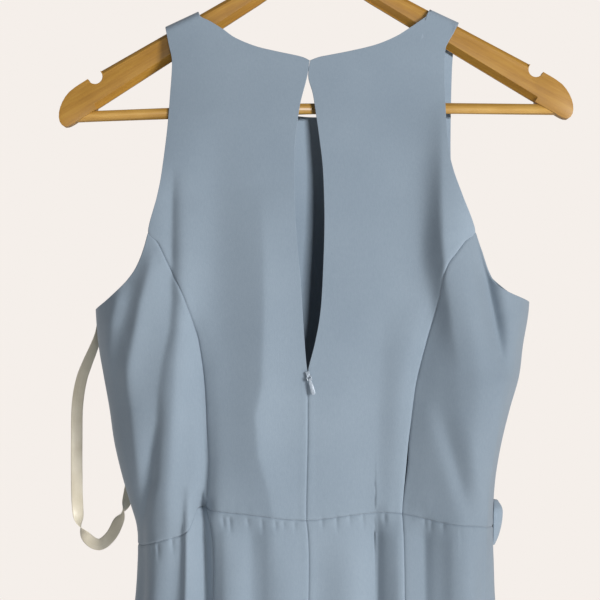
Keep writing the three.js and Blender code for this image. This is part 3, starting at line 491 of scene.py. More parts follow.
class Finish:
    """One material and its nodes"""

    def __init__(self, name):
        self.material = bpy.data.materials.new(name)
        self.material.use_nodes = True
        self.tree = self.material.node_tree
        self.shader = self.tree.nodes["Principled BSDF"]

    def node(self, kind, settings=None, inputs=None):
        made = self.tree.nodes.new(kind)
        for key, value in (settings or {}).items():
            if key == "stops":
                ramp = made.color_ramp.elements
                while len(ramp) < len(value):
                    ramp.new(0.5)
                for stop, (place, colour) in zip(ramp, value):
                    stop.position = place
                    stop.color = colour
            else:
                setattr(made, key, value)
        for key, value in (inputs or {}).items():
            if isinstance(value, Wire):
                self.tree.links.new(value.socket, made.inputs[key])
            else:
                made.inputs[key].default_value = value
        return {socket.name: Wire(self, socket) for socket in made.outputs if socket.enabled}

    def mapped(self, vector, scale=(1, 1, 1), turn=(0, 0, 0)):
        inputs = {"Vector": vector, "Scale": scale, "Rotation": turn}
        return self.node("ShaderNodeMapping", {}, inputs)["Vector"]

    def place(self, scale=(1, 1, 1)):
        """Object coordinates, scaled"""
        return self.mapped(self.node("ShaderNodeTexCoord")["Object"], scale)

    def noise(self, vector, scale, detail=2.0, roughness=0.5):
        inputs = {"Vector": vector, "Scale": scale, "Detail": detail, "Roughness": roughness}
        return self.node("ShaderNodeTexNoise", {}, inputs)["Fac"]

    def ramp(self, value, stops):
        return self.node("ShaderNodeValToRGB", {"stops": stops}, {"Fac": value})["Color"]

    def bump(self, height, strength, distance):
        inputs = {"Height": height, "Strength": strength, "Distance": distance}
        return self.node("ShaderNodeBump", {}, inputs)["Normal"]

    def wear(self, **values):
        """Sets the shader's sockets, linked or plain"""
        for key, value in values.items():
            socket = self.shader.inputs[key.replace("_", " ")]
            if isinstance(value, Wire):
                self.tree.links.new(value.socket, socket)
            else:
                socket.default_value = value
        return self.material


def crepe_finish():
    finish = Finish("dusty_blue_crepe")
    place = finish.place()
    mottle = finish.noise(place, 9.0, 3.0)
    grain = finish.noise(place, 1400.0, 2.0, 0.7)
    slub = finish.noise(finish.place((900, 900, 260)), 1.0, 1.0)
    tone = mottle * 0.55 + grain * 0.25 + slub * 0.2
    colour = finish.ramp(tone, [(0.3, (0.205, 0.262, 0.325, 1)), (0.7, (0.262, 0.325, 0.392, 1))])
    height = grain * 0.7 + slub * 0.3
    return finish.wear(
        Base_Color=colour,
        Roughness=0.82,
        Normal=finish.bump(height, 0.35, 0.0003),
        Sheen_Weight=0.25,
        Sheen_Roughness=0.5,
        Specular_IOR_Level=0.25,
    )


crepe = crepe_finish()

NECK_BACK_LEFT = [
    (-98, -134), (-97.6, -136), (-96, -139.5), (-88, -143.5), (-77, -150.5), (-66, -158.5), (-49, -166),
    (-32, -170.5), (-10, -175.5), (-2.2, -179),
]
NECK_BACK_RIGHT = [
    (-1.8, -179), (6, -176), (15.5, -174), (32.5, -170.5), (54, -165), (71.5, -157.5), (84, -149.5),
    (94, -142.5), (100, -138), (101.6, -134.6), (102, -132.2),
]
KEYHOLE_LEFT = [
    (-2.2, -179), (-4.3, -193), (-7.7, -206.5), (-10, -216), (-12, -228.5), (-14.3, -248), (-15.2, -270),
    (-14.2, -316), (-10, -367), (-7.9, -400), (-5.5, -433), (-4.2, -443),
]
KEYHOLE_RIGHT = [
    (-1.8, -179), (-3.5, -193), (0, -206.5), (1.7, -216), (3.4, -228.5), (6, -248), (8.8, -274),
    (10, -316), (8.8, -358), (6.7, -392), (2.5, -417), (-2.6, -437), (-3.8, -443),
]
ARMHOLE_BACK_LEFT = [
    (-126.6, -147.44), (-124.5, -158), (-122.5, -167), (-120, -180), (-121, -207), (-123, -241),
    (-127, -276), (-131, -297), (-138, -326.8),
]
ARMHOLE_BACK_RIGHT = [
    (127, -143.95), (121, -155), (117, -162), (114.5, -168), (113, -185), (113, -230), (114.5, -258),
    (118, -276), (125, -297), (135.3, -326.8),
]
PRINCESS_LEFT = [
    (-138, -326.8), (-130, -335.5), (-119.5, -356.5), (-107.5, -381), (-99, -404.5), (-94.5, -421),
    (-90, -454.5), (-88, -492), (-86, -522), (-86, -559.5),
]
PRINCESS_RIGHT = [
    (135.3, -326.8), (127.5, -334), (119.5, -344), (112.5, -353), (108, -365), (105, -383.5),
    (96.5, -413), (88, -446), (84.5, -467), (81, -500), (79.5, -526), (77, -561),
]
SEAM_DEGREES = {"side_left": -90, "back_left": -34.6, "centre": -2.3, "back_right": 28.9, "side_right": 90,
                "front_right": 146.3, "front_left": 215.9, "front_side_left": 270}
# Rows close together where the shoulders roll over
TOP_ROWS = [0, 0.0008, 0.0018, 0.0035, 0.006, 0.009, 0.013, 0.018, 0.024, 0.032, 0.042, 0.052]


def bodice_rows(count):
    rest = np.linspace(TOP_ROWS[-1], 0.985, count)[1:]
    return np.array([*TOP_ROWS, *rest, 0.9895, 0.9935, 0.9965, 0.9985, 1])


def down_to_waist(points, side, rows, degrees):
    edge = on_body(at_heights(curve(points), rows), side)
    blend = smoothstep(np.asarray(rows), 0.8, 1)
    shift = np.array([math.radians(degrees), waist(degrees)]) - edge[-1]
    return edge + blend[:, None] * shift


def waist_edge(start, end, shares):
    degrees = start + (end - start) * np.asarray(shares)
    return np.stack([np.radians(degrees), waist(degrees)], -1)


def shoulder(outer_x, neck_x):
    x = np.linspace(outer_x, neck_x, 10)
    return np.stack([x, shoulder_line(x)], -1)


def centre_back(keyhole):
    return [*keyhole, *[(CENTRE_BACK_X, z) for z in (-446, -480, -520, -567)]]


def with_corner(shares, width, corners):
    """Adds columns where the neckline turns over the hanger's arm, and drops any that all but meet"""
    near = [corner + side * step / width for corner, side in corners for step in (-2, 0, 2.4, 5, 7.5)]
    kept = [share for share in shares if min(abs(share - place) for place in near) > 1.1 / width]
    return np.sort(np.concatenate([kept, near]))


BACK_ROWS = bodice_rows(190)
left_top = np.vstack([shoulder(-126.6, -98), curve(NECK_BACK_LEFT)[1:]])
left_columns = with_corner(close_at_ends(96, 140), 140, [(0.235, 1)])
back_left = fill(
    on_body(at_shares(left_top, left_columns), "back"),
    waist_edge(SEAM_DEGREES["back_left"], SEAM_DEGREES["centre"], left_columns),
    down_to_waist(ARMHOLE_BACK_LEFT[:-1] + PRINCESS_LEFT, "back", BACK_ROWS, SEAM_DEGREES["back_left"]),
    down_to_waist(centre_back(KEYHOLE_LEFT), "back", BACK_ROWS, SEAM_DEGREES["centre"]),
)
right_top = np.vstack([curve(NECK_BACK_RIGHT), shoulder(127, 102)[::-1][1:]])
right_columns = with_corner(close_at_ends(96, 140), 140, [(0.8, -1)])
back_right = fill(
    on_body(at_shares(right_top, right_columns), "back"),
    waist_edge(SEAM_DEGREES["centre"], SEAM_DEGREES["back_right"], right_columns),
    down_to_waist(centre_back(KEYHOLE_RIGHT), "back", BACK_ROWS, SEAM_DEGREES["centre"]),
    down_to_waist(ARMHOLE_BACK_RIGHT[:-1] + PRINCESS_RIGHT, "back", BACK_ROWS, SEAM_DEGREES["back_right"]),
)


SEAM_START_LENGTH = 4
BACK_PRINCESS_TOP_Z = -327
CENTRE_SEAM_TOP_Z = -446


def below(grid, z):
    """1 where a panel's edge is sewn, below a height, and 0 where it is free"""
    return smoothstep(-grid[..., 1], -z - SEAM_START_LENGTH, -z + SEAM_START_LENGTH)


cloth("bodice_back_left_cloth", back_left,
      {"left": below(back_left, BACK_PRINCESS_TOP_Z), "right": below(back_left, CENTRE_SEAM_TOP_Z),
       "bottom": 1},
      "bodice_back_left")
cloth("bodice_back_right_cloth", back_right,
      {"left": below(back_right, CENTRE_SEAM_TOP_Z), "right": below(back_right, BACK_PRINCESS_TOP_Z),
       "bottom": 1},
      "bodice_back_right")

# Side backs
# A narrow shaped panel on each side, sewn to the back along a princess seam that starts in the
# armhole, and to the front at the side. Its free top edge finishes the underarm.
UNDERARM_BACK_LEFT = [
    (-138, -326.8), (-141.5, -340), (-145, -350), (-149.3, -358.5), (-155.7, -367), (-164, -375.5),
    (-173.5, -383.5), (-182, -389.5), (-186, -392),
]
UNDERARM_BACK_RIGHT = [
    (135.3, -326.8), (139.3, -341.5), (141.3, -350), (143.5, -358.4), (147, -366.7), (152, -372.3),
    (160, -377), (170.5, -381), (186, -386),
]
UNDERARM_Z = {"left": -392, "right": -386}


def side_seam(degrees, top_z, rows):
    z = top_z + (waist(degrees) - top_z) * np.asarray(rows)
    return np.stack([np.full(len(z), math.radians(degrees)), z], -1)


SIDE_ROWS = close_at_ends(105, 230)
SIDE_COLUMNS = close_at_ends(44, 80)
side_back_left = fill(
    on_body(at_shares(curve(UNDERARM_BACK_LEFT[::-1]), SIDE_COLUMNS), "back"),
    waist_edge(SEAM_DEGREES["side_left"], SEAM_DEGREES["back_left"], SIDE_COLUMNS),
    side_seam(SEAM_DEGREES["side_left"], UNDERARM_Z["left"], SIDE_ROWS),
    down_to_waist(PRINCESS_LEFT, "back", SIDE_ROWS, SEAM_DEGREES["back_left"]),
)
side_back_right = fill(
    on_body(at_shares(curve(UNDERARM_BACK_RIGHT), SIDE_COLUMNS), "back"),
    waist_edge(SEAM_DEGREES["back_right"], SEAM_DEGREES["side_right"], SIDE_COLUMNS),
    down_to_waist(PRINCESS_RIGHT, "back", SIDE_ROWS, SEAM_DEGREES["back_right"]),
    side_seam(SEAM_DEGREES["side_right"], UNDERARM_Z["right"], SIDE_ROWS),
)
ALL_BUT_TOP = {"left": 1, "right": 1, "bottom": 1}
cloth("bodice_side_back_left_cloth", side_back_left, ALL_BUT_TOP,
      "bodice_side_back_left")
cloth("bodice_side_back_right_cloth", side_back_right, ALL_BUT_TOP,
      "bodice_side_back_right")

# Front of the bodice
# One centre panel with a high round neckline, joined to the backs at the shoulders, and a side
# panel on each side. At the wearer's right it is drawn towards the knot in soft diagonal folds.
FRONT_PRINCESS_TOP_Z = -320
NECK_FRONT = [
    (102, -132.2), (101.6, -135), (100.5, -141), (96, -158), (82, -184), (62, -203), (36, -216),
    (2, -221), (-32, -216), (-58, -203), (-79, -183), (-92, -158), (-96.5, -142), (-97.6, -136.5),
    (-98, -134),
]
ARMHOLE_FRONT_LEFT = [
    (-126.6, -147.44), (-122, -165), (-120, -185), (-119, -220), (-120, -255), (-124, -290), (-131, -320),
]
ARMHOLE_FRONT_RIGHT = [
    (127, -143.95), (124.5, -160), (123, -180), (123, -225), (124, -262), (127, -292), (133, -320),
]
PRINCESS_FRONT_LEFT = [
    (-131, -320), (-112, -350), (-101, -385), (-97, -425), (-93, -480), (-90, -530), (-89, -577),
]
PRINCESS_FRONT_RIGHT = [
    (133, -320), (114, -350), (103, -385), (98, -425), (93, -480), (89, -530), (88, -572),
]
UNDERARM_FRONT_LEFT = [(-131, -320), (-140, -343), (-155, -366), (-172, -382), (-186, -392)]
UNDERARM_FRONT_RIGHT = [(133, -320), (141, -341), (155, -362), (172, -378), (186, -386)]

front_top = np.vstack([
    shoulder(127, 102), curve(NECK_FRONT)[1:], shoulder(-126.6, -98)[::-1][1:],
])
front_columns = with_corner(close_at_ends(110, 280), 280, [(0.065, 1), (0.93, -1)])
bodice_front = fill(
    on_body(at_shares(front_top, front_columns), "front"),
    waist_edge(SEAM_DEGREES["front_right"], SEAM_DEGREES["front_left"], front_columns),
    down_to_waist(ARMHOLE_FRONT_RIGHT[:-1] + PRINCESS_FRONT_RIGHT, "front", BACK_ROWS,
                  SEAM_DEGREES["front_right"]),
    down_to_waist(ARMHOLE_FRONT_LEFT[:-1] + PRINCESS_FRONT_LEFT, "front", BACK_ROWS,
                  SEAM_DEGREES["front_left"]),
)
side_front_right = fill(
    on_body(at_shares(curve(UNDERARM_FRONT_RIGHT[::-1]), SIDE_COLUMNS), "front"),
    waist_edge(SEAM_DEGREES["side_right"], SEAM_DEGREES["front_right"], SIDE_COLUMNS),
    side_seam(SEAM_DEGREES["side_right"], UNDERARM_Z["right"], SIDE_ROWS),
    down_to_waist(PRINCESS_FRONT_RIGHT, "front", SIDE_ROWS, SEAM_DEGREES["front_right"]),
)
side_front_left = fill(
    on_body(at_shares(curve(UNDERARM_FRONT_LEFT), SIDE_COLUMNS), "front"),
    waist_edge(SEAM_DEGREES["front_left"], SEAM_DEGREES["front_side_left"], SIDE_COLUMNS),
    down_to_waist(PRINCESS_FRONT_LEFT, "front", SIDE_ROWS, SEAM_DEGREES["front_left"]),
    side_seam(SEAM_DEGREES["front_side_left"], UNDERARM_Z["left"], SIDE_ROWS),
)
cloth("bodice_front_cloth", bodice_front,
      {"left": below(bodice_front, FRONT_PRINCESS_TOP_Z), "right": below(bodice_front, FRONT_PRINCESS_TOP_Z),
       "bottom": 1},
      "bodice_front")
cloth("bodice_side_front_right_cloth", side_front_right, ALL_BUT_TOP,
      "bodice_side_front_right")
cloth("bodice_side_front_left_cloth", side_front_left, ALL_BUT_TOP,
      "bodice_side_front_left")

# Skirt
# Seven panels with the bodice's seams carried on down to the floor. They are slightly gathered
# into the waist, hang in deep soft flutes and end in a narrow turned hem.
SKIRT_LENGTH = 1090
# Millimetres below the waist seam: rows close together at the seam and at the hem
ROWS_AT_WAIST = [0, 0.4, 0.9, 1.6, 2.6, 4, 6, 8.5, 11.5, 15]
ROWS_AT_HEM = [1080, 1084, 1086.5, 1088.4, 1089.4, 1090]
LAST_EVEN_ROW = 1075
SKIRT_PANELS = [
    # panel, the seams it lies between, width at the waist in millimetres, columns, cut width, cut area
    ("side_back_left", "side_left", "back_left", 110, 84, 0.22, 0.176),
    ("back_left", "back_left", "centre", 100, 78, 0.2, 0.149),
    ("back_right", "centre", "back_right", 100, 78, 0.2, 0.146),
    ("side_back_right", "back_right", "side_right", 110, 84, 0.25, 0.2),
    ("side_front_right", "side_right", "front_right", 110, 56, 0.23, 0.184),
    ("front", "front_right", "front_left", 220, 100, 0.38, 0.305),
    ("side_front_left", "front_left", "front_side_left", 110, 56, 0.23, 0.176),
]

first_even_row = ROWS_AT_WAIST[-1]
even_rows = first_even_row + (LAST_EVEN_ROW - first_even_row) * np.linspace(0, 1, 128)[1:] ** 1.35
skirt_rows = np.concatenate([ROWS_AT_WAIST, even_rows, ROWS_AT_HEM]) / SKIRT_LENGTH
for panel, left_seam, right_seam, waist_width, columns, cut_width, cut_area in SKIRT_PANELS:
    start, end = SEAM_DEGREES[left_seam], SEAM_DEGREES[right_seam]
    degrees = start + (end - start) * close_at_ends(columns, waist_width, (0.5, 1.2, 2.2, 3.8, 6.5))
    top = waist(degrees)
    panel_z = top + skirt_rows[:, None] * (HEM_Z - top)
    panel_grid = np.stack([np.radians(degrees) + 0 * panel_z, panel_z], -1)
    cloth(f"skirt_{panel}_cloth", panel_grid, {"left": 1, "right": 1, "top": 1}, f"skirt_{panel}")

# Knot of the waist
# The gathers of the front end in a small knot of the same crepe at the wearer's right side. A
# folded end stands out beside it, so that its edge shows from the back.
KNOT_DEGREES = 106
KNOT_Z = -573
KNOT_HALF = (12, 15, 8)
KNOT_POINTS = 96
END_POINTS = 21
KNOT_END = [
    # z, from degrees, to degrees, how far it bulges
    (-556, 88, 91, 4), (-562, 84, 93, 8), (-570, 83, 93, 8.5), (-578, 83, 93, 7.5), (-586, 84, 92, 5.5),
    (-594, 86, 91, 2.5),
]


def soft_piece(name, vertices, faces, node, material):
    made = mesh_object(name, vertices, faces, None, material)
    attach(made, DRESS)
    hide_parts(node)
    return made


def rings_to_faces(rings, around):
    """Faces of a closed tube of rings, with a fan at each end"""
    faces = []
    for i in range(rings - 1):
        for j in range(around):
            a = i * around + j
            b = i * around + (j + 1) % around
            faces.append([a, b, b + around, a + around])
    first = list(range(around))[::-1]
    last = [(rings - 1) * around + j for j in range(around)]
    return [*faces, first, last]


def knot_frame(degrees, z):
    theta = np.array(math.radians(degrees))
    height = np.array(float(z))
    out = body_normal(theta, height)
    along = np.cross([0, 0, 1], out)
    return body(theta, height), out, along / np.linalg.norm(along)


def wrapped_knot():
    """An ellipsoid squeezed by the two turns of cloth that wrap it"""
    centre, out, along = knot_frame(KNOT_DEGREES, KNOT_Z)
    centre = centre + out * (KNOT_HALF[2] * 0.98 + 0.6)
    up = np.array([0, 0, 1.0])
    rings = []
    for latitude in np.linspace(-0.5, 0.5, 49)[1:-1] * math.pi:
        around = np.linspace(0, 2 * math.pi, KNOT_POINTS, endpoint=False)
        pleat = 0.055 * np.sin(6 * around + 2.2 * math.sin(2.6 * latitude)) * math.cos(latitude)
        turn = 0.05 * math.cos(7 * latitude + 0.6) - 0.1 * math.exp(-((latitude - 0.5) / 0.13) ** 2)
        size = math.cos(latitude) * (1 - 0.02 + pleat + turn * (0.6 + 0.4 * np.sin(around)))
        rings.append(
            centre
            + np.outer(np.cos(around) * size * KNOT_HALF[0], along)
            + np.outer(np.sin(around) * size * KNOT_HALF[2], out)
            + up * KNOT_HALF[1] * math.sin(latitude)
        )
    return np.concatenate(rings), rings_to_faces(len(rings), KNOT_POINTS)


def folded_end():
    """A loop of doubled cloth that stands out of the side, with a crease down its middle"""
    table = np.array(KNOT_END, float)
    heights = np.linspace(table[0, 0], table[-1, 0], 44)
    from_degrees, to_degrees, bulge = [smooth_column(table[:, 0], table[:, k])(heights) for k in (1, 2, 3)]
    rings = []
    for z, start, end, swell in zip(heights, from_degrees, to_degrees, bulge):
        share = np.linspace(0, 1, END_POINTS)
        theta = np.radians(start + (end - start) * share)
        level = np.full(END_POINTS, z)
        base = body(theta, level)
        out = body_normal(theta, level)
        loop = np.sin(share * math.pi) ** 0.8
        crease = 1 - 0.16 * np.exp(-((share - 0.55) / 0.12) ** 2)
        lower = base + out * 1.0
        upper = base + out * (1.4 + swell * loop * crease)[:, None]
        rings.append(np.concatenate([upper, lower[::-1]]))
    return np.concatenate(rings), rings_to_faces(len(rings), 2 * END_POINTS)


knot_vertices, knot_faces = wrapped_knot()
soft_piece("waist_knot_wrap", knot_vertices, knot_faces, "waist_knot", crepe)
end_vertices, end_faces = folded_end()
soft_piece("waist_knot_loop", end_vertices, end_faces, "waist_knot_end", crepe)

# Zip
# An invisible zip in the centre-back seam, from the foot of the keyhole down over the hips. Only
# its slider and its pull tab show, enamelled in the cloth's blue. The tape and coil lie inside.
ZIP_TOP = -448
ZIP_BOTTOM = -745
COIL_PITCH = 1.1
COIL_RADIUS = 1.3
COIL_WIRE_RADIUS = 0.32
COIL_POINTS = 60
COIL_DEPTH = 3.5


def copy_of_node(name, node, bevel, segments, material, ride_on=DRESS):
    """A merged, rounded copy of a CAD node, which it stands for"""
    mesh = bpy.data.objects[node].data.copy()
    mesh.materials.clear()
    mesh.materials.append(material)
    work = bmesh.new()
    work.from_mesh(mesh)
    bmesh.ops.remove_doubles(work, verts=work.verts, dist=2e-6)
    bmesh.ops.dissolve_limit(work, angle_limit=math.radians(1.5), verts=work.verts, edges=work.edges)
    for face in work.faces:
        face.material_index = 0
        face.smooth = True
    work.to_mesh(mesh)
    work.free()
    made = bpy.data.objects.new(name, mesh)
    bpy.context.scene.collection.objects.link(made)
    rounding = made.modifiers.new("rounding", "BEVEL")
    rounding.width = bevel * MM
    rounding.segments = segments
    rounding.limit_method = "ANGLE"
    rounding.angle_limit = math.radians(28)
    rounding.harden_normals = True
    bake_modifiers(made)
    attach(made, ride_on)
    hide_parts(node)
    return made


def bake_modifiers(made):
    """Turns what the modifiers make into the piece's own plain mesh"""
    graph = bpy.context.evaluated_depsgraph_get()
    baked = bpy.data.meshes.new_from_object(made.evaluated_get(graph))
    made.modifiers.clear()
    made.data = baked


def enamel_finish():
    finish = Finish("blue_enamel")
    place = finish.place()
    # A noise mottle whose pale top stop paints highlights into the enamel's colour as flecks; the same noise
    # also varies the roughness
    mottle_and_glints = finish.noise(place, 700.0, 3.0, 0.6)
    colour = finish.ramp(mottle_and_glints, [(0.25, (0.27, 0.33, 0.4, 1)), (0.62, (0.38, 0.44, 0.51, 1)),
                                (0.8, (0.55, 0.59, 0.63, 1))])
    return finish.wear(
        Base_Color=colour,
        Roughness=mottle_and_glints * 0.2 + 0.2,
        Metallic=0.25,
        Coat_Weight=0.6,
        Coat_Roughness=0.12,
        Normal=finish.bump(finish.noise(place, 2600.0), 0.12, 0.0002),
    )


def tape_finish():
    finish = Finish("woven_zip_tape")
    ribs = finish.noise(finish.place((260, 260, 2600)), 1.0, 1.0)
    weave = finish.noise(finish.place((2400, 900, 900)), 1.0, 1.0)
    thread = ribs * 0.6 + weave * 0.4
    colour = finish.ramp(thread, [(0.3, (0.1, 0.135, 0.19, 1)), (0.7, (0.19, 0.245, 0.31, 1))])
    return finish.wear(
        Base_Color=colour, Roughness=0.78, Normal=finish.bump(ribs + weave, 0.5, 0.0002), Sheen_Weight=0.2
    )


enamel = enamel_finish()
tape = tape_finish()
copy_of_node("zip_slider_enamel", "zip_slider", 0.3, 3, enamel)
copy_of_node("zip_pull_enamel", "zip_pull", 0.22, 3, enamel, "pull_tab")
bpy.data.objects["zip_tape"].data.materials.clear()
bpy.data.objects["zip_tape"].data.materials.append(tape)


class Maker:
    """A Geometry Nodes tree that repeats a small shape along a line of points"""

    def __init__(self, name, inputs, material):
        self.tree = bpy.data.node_groups.new(name, "GeometryNodeTree")
        self.tree.interface.new_socket("Geometry", in_out="INPUT", socket_type="NodeSocketGeometry")
        self.names = {}
        for label, value in inputs.items():
            socket = self.tree.interface.new_socket(label, in_out="INPUT", socket_type="NodeSocketFloat")
            socket.default_value = value
            self.names[label] = socket.identifier
        self.tree.interface.new_socket("Geometry", in_out="OUTPUT", socket_type="NodeSocketGeometry")
        self.entry = self.tree.nodes.new("NodeGroupInput")
        self.exit = self.tree.nodes.new("NodeGroupOutput")
        self.material = material

    def node(self, kind, settings=None, links=None):
        made = self.tree.nodes.new(kind)
        for key, value in (settings or {}).items():
            setattr(made, key, value)
        for key, value in (links or {}).items():
            if isinstance(value, bpy.types.NodeSocket):
                self.tree.links.new(value, made.inputs[key])
            else:
                made.inputs[key].default_value = value
        return made

    def given(self, label):
        return self.entry.outputs[label]

    def finish(self, instances):
        real = self.node("GeometryNodeRealizeInstances", {}, {"Geometry": instances})
        links = {"Geometry": real.outputs[0], "Material": self.material}
        dressed = self.node("GeometryNodeSetMaterial", {}, links)
        self.tree.links.new(dressed.outputs[0], self.exit.inputs["Geometry"])

    def make(self, name, line, values):
        """Runs the tree on a line of points in metres and keeps the plain mesh"""
        mesh = bpy.data.meshes.new(name)
        mesh.from_pydata(line, [(i, i + 1) for i in range(len(line) - 1)], [])
        made = bpy.data.objects.new(name, mesh)
        bpy.context.scene.collection.objects.link(made)
        modifier = made.modifiers.new("repeat", "NODES")
        modifier.node_group = self.tree
        for label, value in values.items():
            modifier[self.names[label]] = value
        bake_modifiers(made)
        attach(made, DRESS)
        return made


def coil_maker():
    """Loops of the zip's nylon coil, one every pitch"""
    sizes = {
        "Pitch": COIL_PITCH * MM,
        "Loop radius": COIL_RADIUS * MM,
        "Wire radius": COIL_WIRE_RADIUS * MM,
    }
    maker = Maker("zip_coil_loops", sizes, tape)
    curve_line = maker.node("GeometryNodeMeshToCurve", {}, {"Mesh": maker.given("Geometry")})
    spaced = maker.node("GeometryNodeResampleCurve", {"mode": "LENGTH"},
                        {"Curve": curve_line.outputs[0], "Length": maker.given("Pitch")})
    ring = maker.node("GeometryNodeCurvePrimitiveCircle", {},
                      {"Resolution": 8, "Radius": maker.given("Loop radius")})
    wire = maker.node("GeometryNodeCurvePrimitiveCircle", {},
                      {"Resolution": 4, "Radius": maker.given("Wire radius")})
    loop = maker.node("GeometryNodeCurveToMesh", {},
                      {"Curve": ring.outputs["Curve"], "Profile Curve": wire.outputs["Curve"]})
    placed = maker.node("GeometryNodeInstanceOnPoints", {},
                        {"Points": spaced.outputs[0], "Instance": loop.outputs[0]})
    maker.finish(placed.outputs[0])
    return maker


coil_z = np.linspace(ZIP_TOP - 4, ZIP_BOTTOM + 4, COIL_POINTS)
coil_inside = body(np.full(COIL_POINTS, math.radians(SEAM_DEGREES["centre"])), coil_z)
coil_line = [(x * MM, (y + COIL_DEPTH) * MM, z * MM) for x, y, z in coil_inside]
coil = coil_maker().make("zip_coil", coil_line, {"Pitch": COIL_PITCH * MM})

# Hook at the nape
# A flat enamelled metal hook, sewn behind the edge of the right back, meets a thread eye at the left.
copy_of_node("neck_hook_enamel", "neck_hook", 0.25, 2, enamel)

# Hanging loop
# A narrow cream satin ribbon, sewn by both ends into the left side seam under the arm. It hangs
# outside in a long loop that turns over twice near its lowest point.
RIBBON_WIDTH = 10
RIBBON_THICKNESS = 0.6
RIBBON_COLUMNS = 11
RIBBON = np.array([
    (-184.7, 14.2, -398), (-186.4, 13.6, -412), (-190.5, 12, -425), (-195.5, 8, -438), (-200.5, 5, -453),
    (-204, 5, -475), (-204.6, 5, -505), (-204.6, 5, -535), (-204.2, 6, -560), (-202, 7, -578),
    (-195, 9, -592), (-185.5, 11, -597), (-176, 14, -590), (-169.5, 20, -577), (-163, 28, -560),
    (-160, 34, -540), (-162, 37, -510), (-167, 37, -475), (-173, 35, -450), (-178, 29.6, -425),
    (-179.7, 26.6, -404),
])
# Turns of the ribbon about its own line: share of its length, degrees
RIBBON_TURNS = np.array([
    (0, 0), (0.3, 0), (0.42, 14), (0.47, 150), (0.52, 196), (0.57, 215), (0.61, 330), (0.68, 352),
    (1, 360),
])


def satin_finish():
    finish = Finish("cream_satin")
    uv = finish.node("ShaderNodeUVMap")["UV"]
    across = finish.noise(finish.mapped(uv, (9, 2600, 1)), 1.0, 2.0)
    soft = finish.noise(finish.place(), 60.0, 3.0)
    sheen = across * 0.5 + soft * 0.5
    colour = finish.ramp(sheen, [(0.32, (0.66, 0.59, 0.44, 1)), (0.68, (0.86, 0.8, 0.66, 1))])
    return finish.wear(
        Base_Color=colour,
        Roughness=across * 0.16 + 0.3,
        Specular_IOR_Level=0.6,
        Sheen_Weight=0.2,
        Normal=finish.bump(across, 0.3, 0.0001),
    )


satin = satin_finish()


def smooth_line(points, count):
    points = np.asarray(points, float)
    keys = np.concatenate([[0], np.cumsum(np.linalg.norm(np.diff(points, axis=0), axis=1))])
    shares = np.linspace(0, keys[-1], count)
    return np.stack([smooth_column(keys, points[:, k])(shares) for k in range(points.shape[1])], -1)


def ribbon():
    """A flat strip with soft edges along the loop's line"""
    line = smooth_line(RIBBON, 180)
    share = np.linspace(0, 1, len(line))
    along = np.gradient(line, axis=0)
    along /= np.linalg.norm(along, axis=1, keepdims=True)
    sewn = smoothstep(np.abs(share - 0.5), 0.3, 0.5)
    face = np.stack([0.25 + 0.65 * sewn, -1 + 0.55 * sewn, 0 * sewn], -1)
    face -= along * (face * along).sum(1, keepdims=True)
    face /= np.linalg.norm(face, axis=1, keepdims=True)
    across = np.cross(along, face)
    turn = np.radians(smooth_column(RIBBON_TURNS[:, 0], RIBBON_TURNS[:, 1])(share))[:, None]
    across, face = across * np.cos(turn) + face * np.sin(turn), face * np.cos(turn) - across * np.sin(turn)
    cells = np.concatenate([np.linspace(-1, 1, RIBBON_COLUMNS), np.linspace(1, -1, RIBBON_COLUMNS)])
    side = np.repeat([1.0, -1.0], RIBBON_COLUMNS)
    edge = np.sqrt(np.clip(1 - (np.abs(cells) ** 12), 0.12, 1))
    cup = 0.5 * np.sin(share * 37 + 1) * smoothstep(0.5 - np.abs(share - 0.5), 0.02, 0.15)
    rings = []
    for i in range(len(line)):
        rings.append(
            line[i]
            + np.outer(cells * RIBBON_WIDTH / 2, across[i])
            + np.outer(side * edge * RIBBON_THICKNESS / 2 + cup[i] * (1 - cells**2), face[i])
        )
    return np.concatenate(rings), rings_to_faces(len(rings), len(cells)), cells, share


ribbon_vertices, ribbon_faces, ribbon_cells, ribbon_shares = ribbon()
loop = soft_piece(
    "hanging_loop_ribbon", ribbon_vertices, ribbon_faces, "hanging_loop", satin
)
ribbon_uv = loop.data.uv_layers.new(name="along")
corners = np.empty(len(loop.data.loops), int)
loop.data.loops.foreach_get("vertex_index", corners)
ring, cell = np.divmod(corners, len(ribbon_cells))
ribbon_uv.data.foreach_set("uv", np.stack([ribbon_shares[ring], ribbon_cells[cell] * 0.01], -1).ravel())

# Hanger
# A contoured hanger of varnished light wood in one board, with a strap notch near each end and a
# round trouser bar set into the two noses. A steel wire hook is screwed into its crown.
ARM_FALL = math.atan(0.552)
TILT = math.radians(-0.9)
BOARD_TONES = [(0.25, 0.115, 0.014, 1), (0.37, 0.185, 0.025, 1), (0.46, 0.26, 0.045, 1)]
BAR_TONES = [(0.27, 0.13, 0.022, 1), (0.39, 0.215, 0.045, 1), (0.49, 0.3, 0.08, 1)]


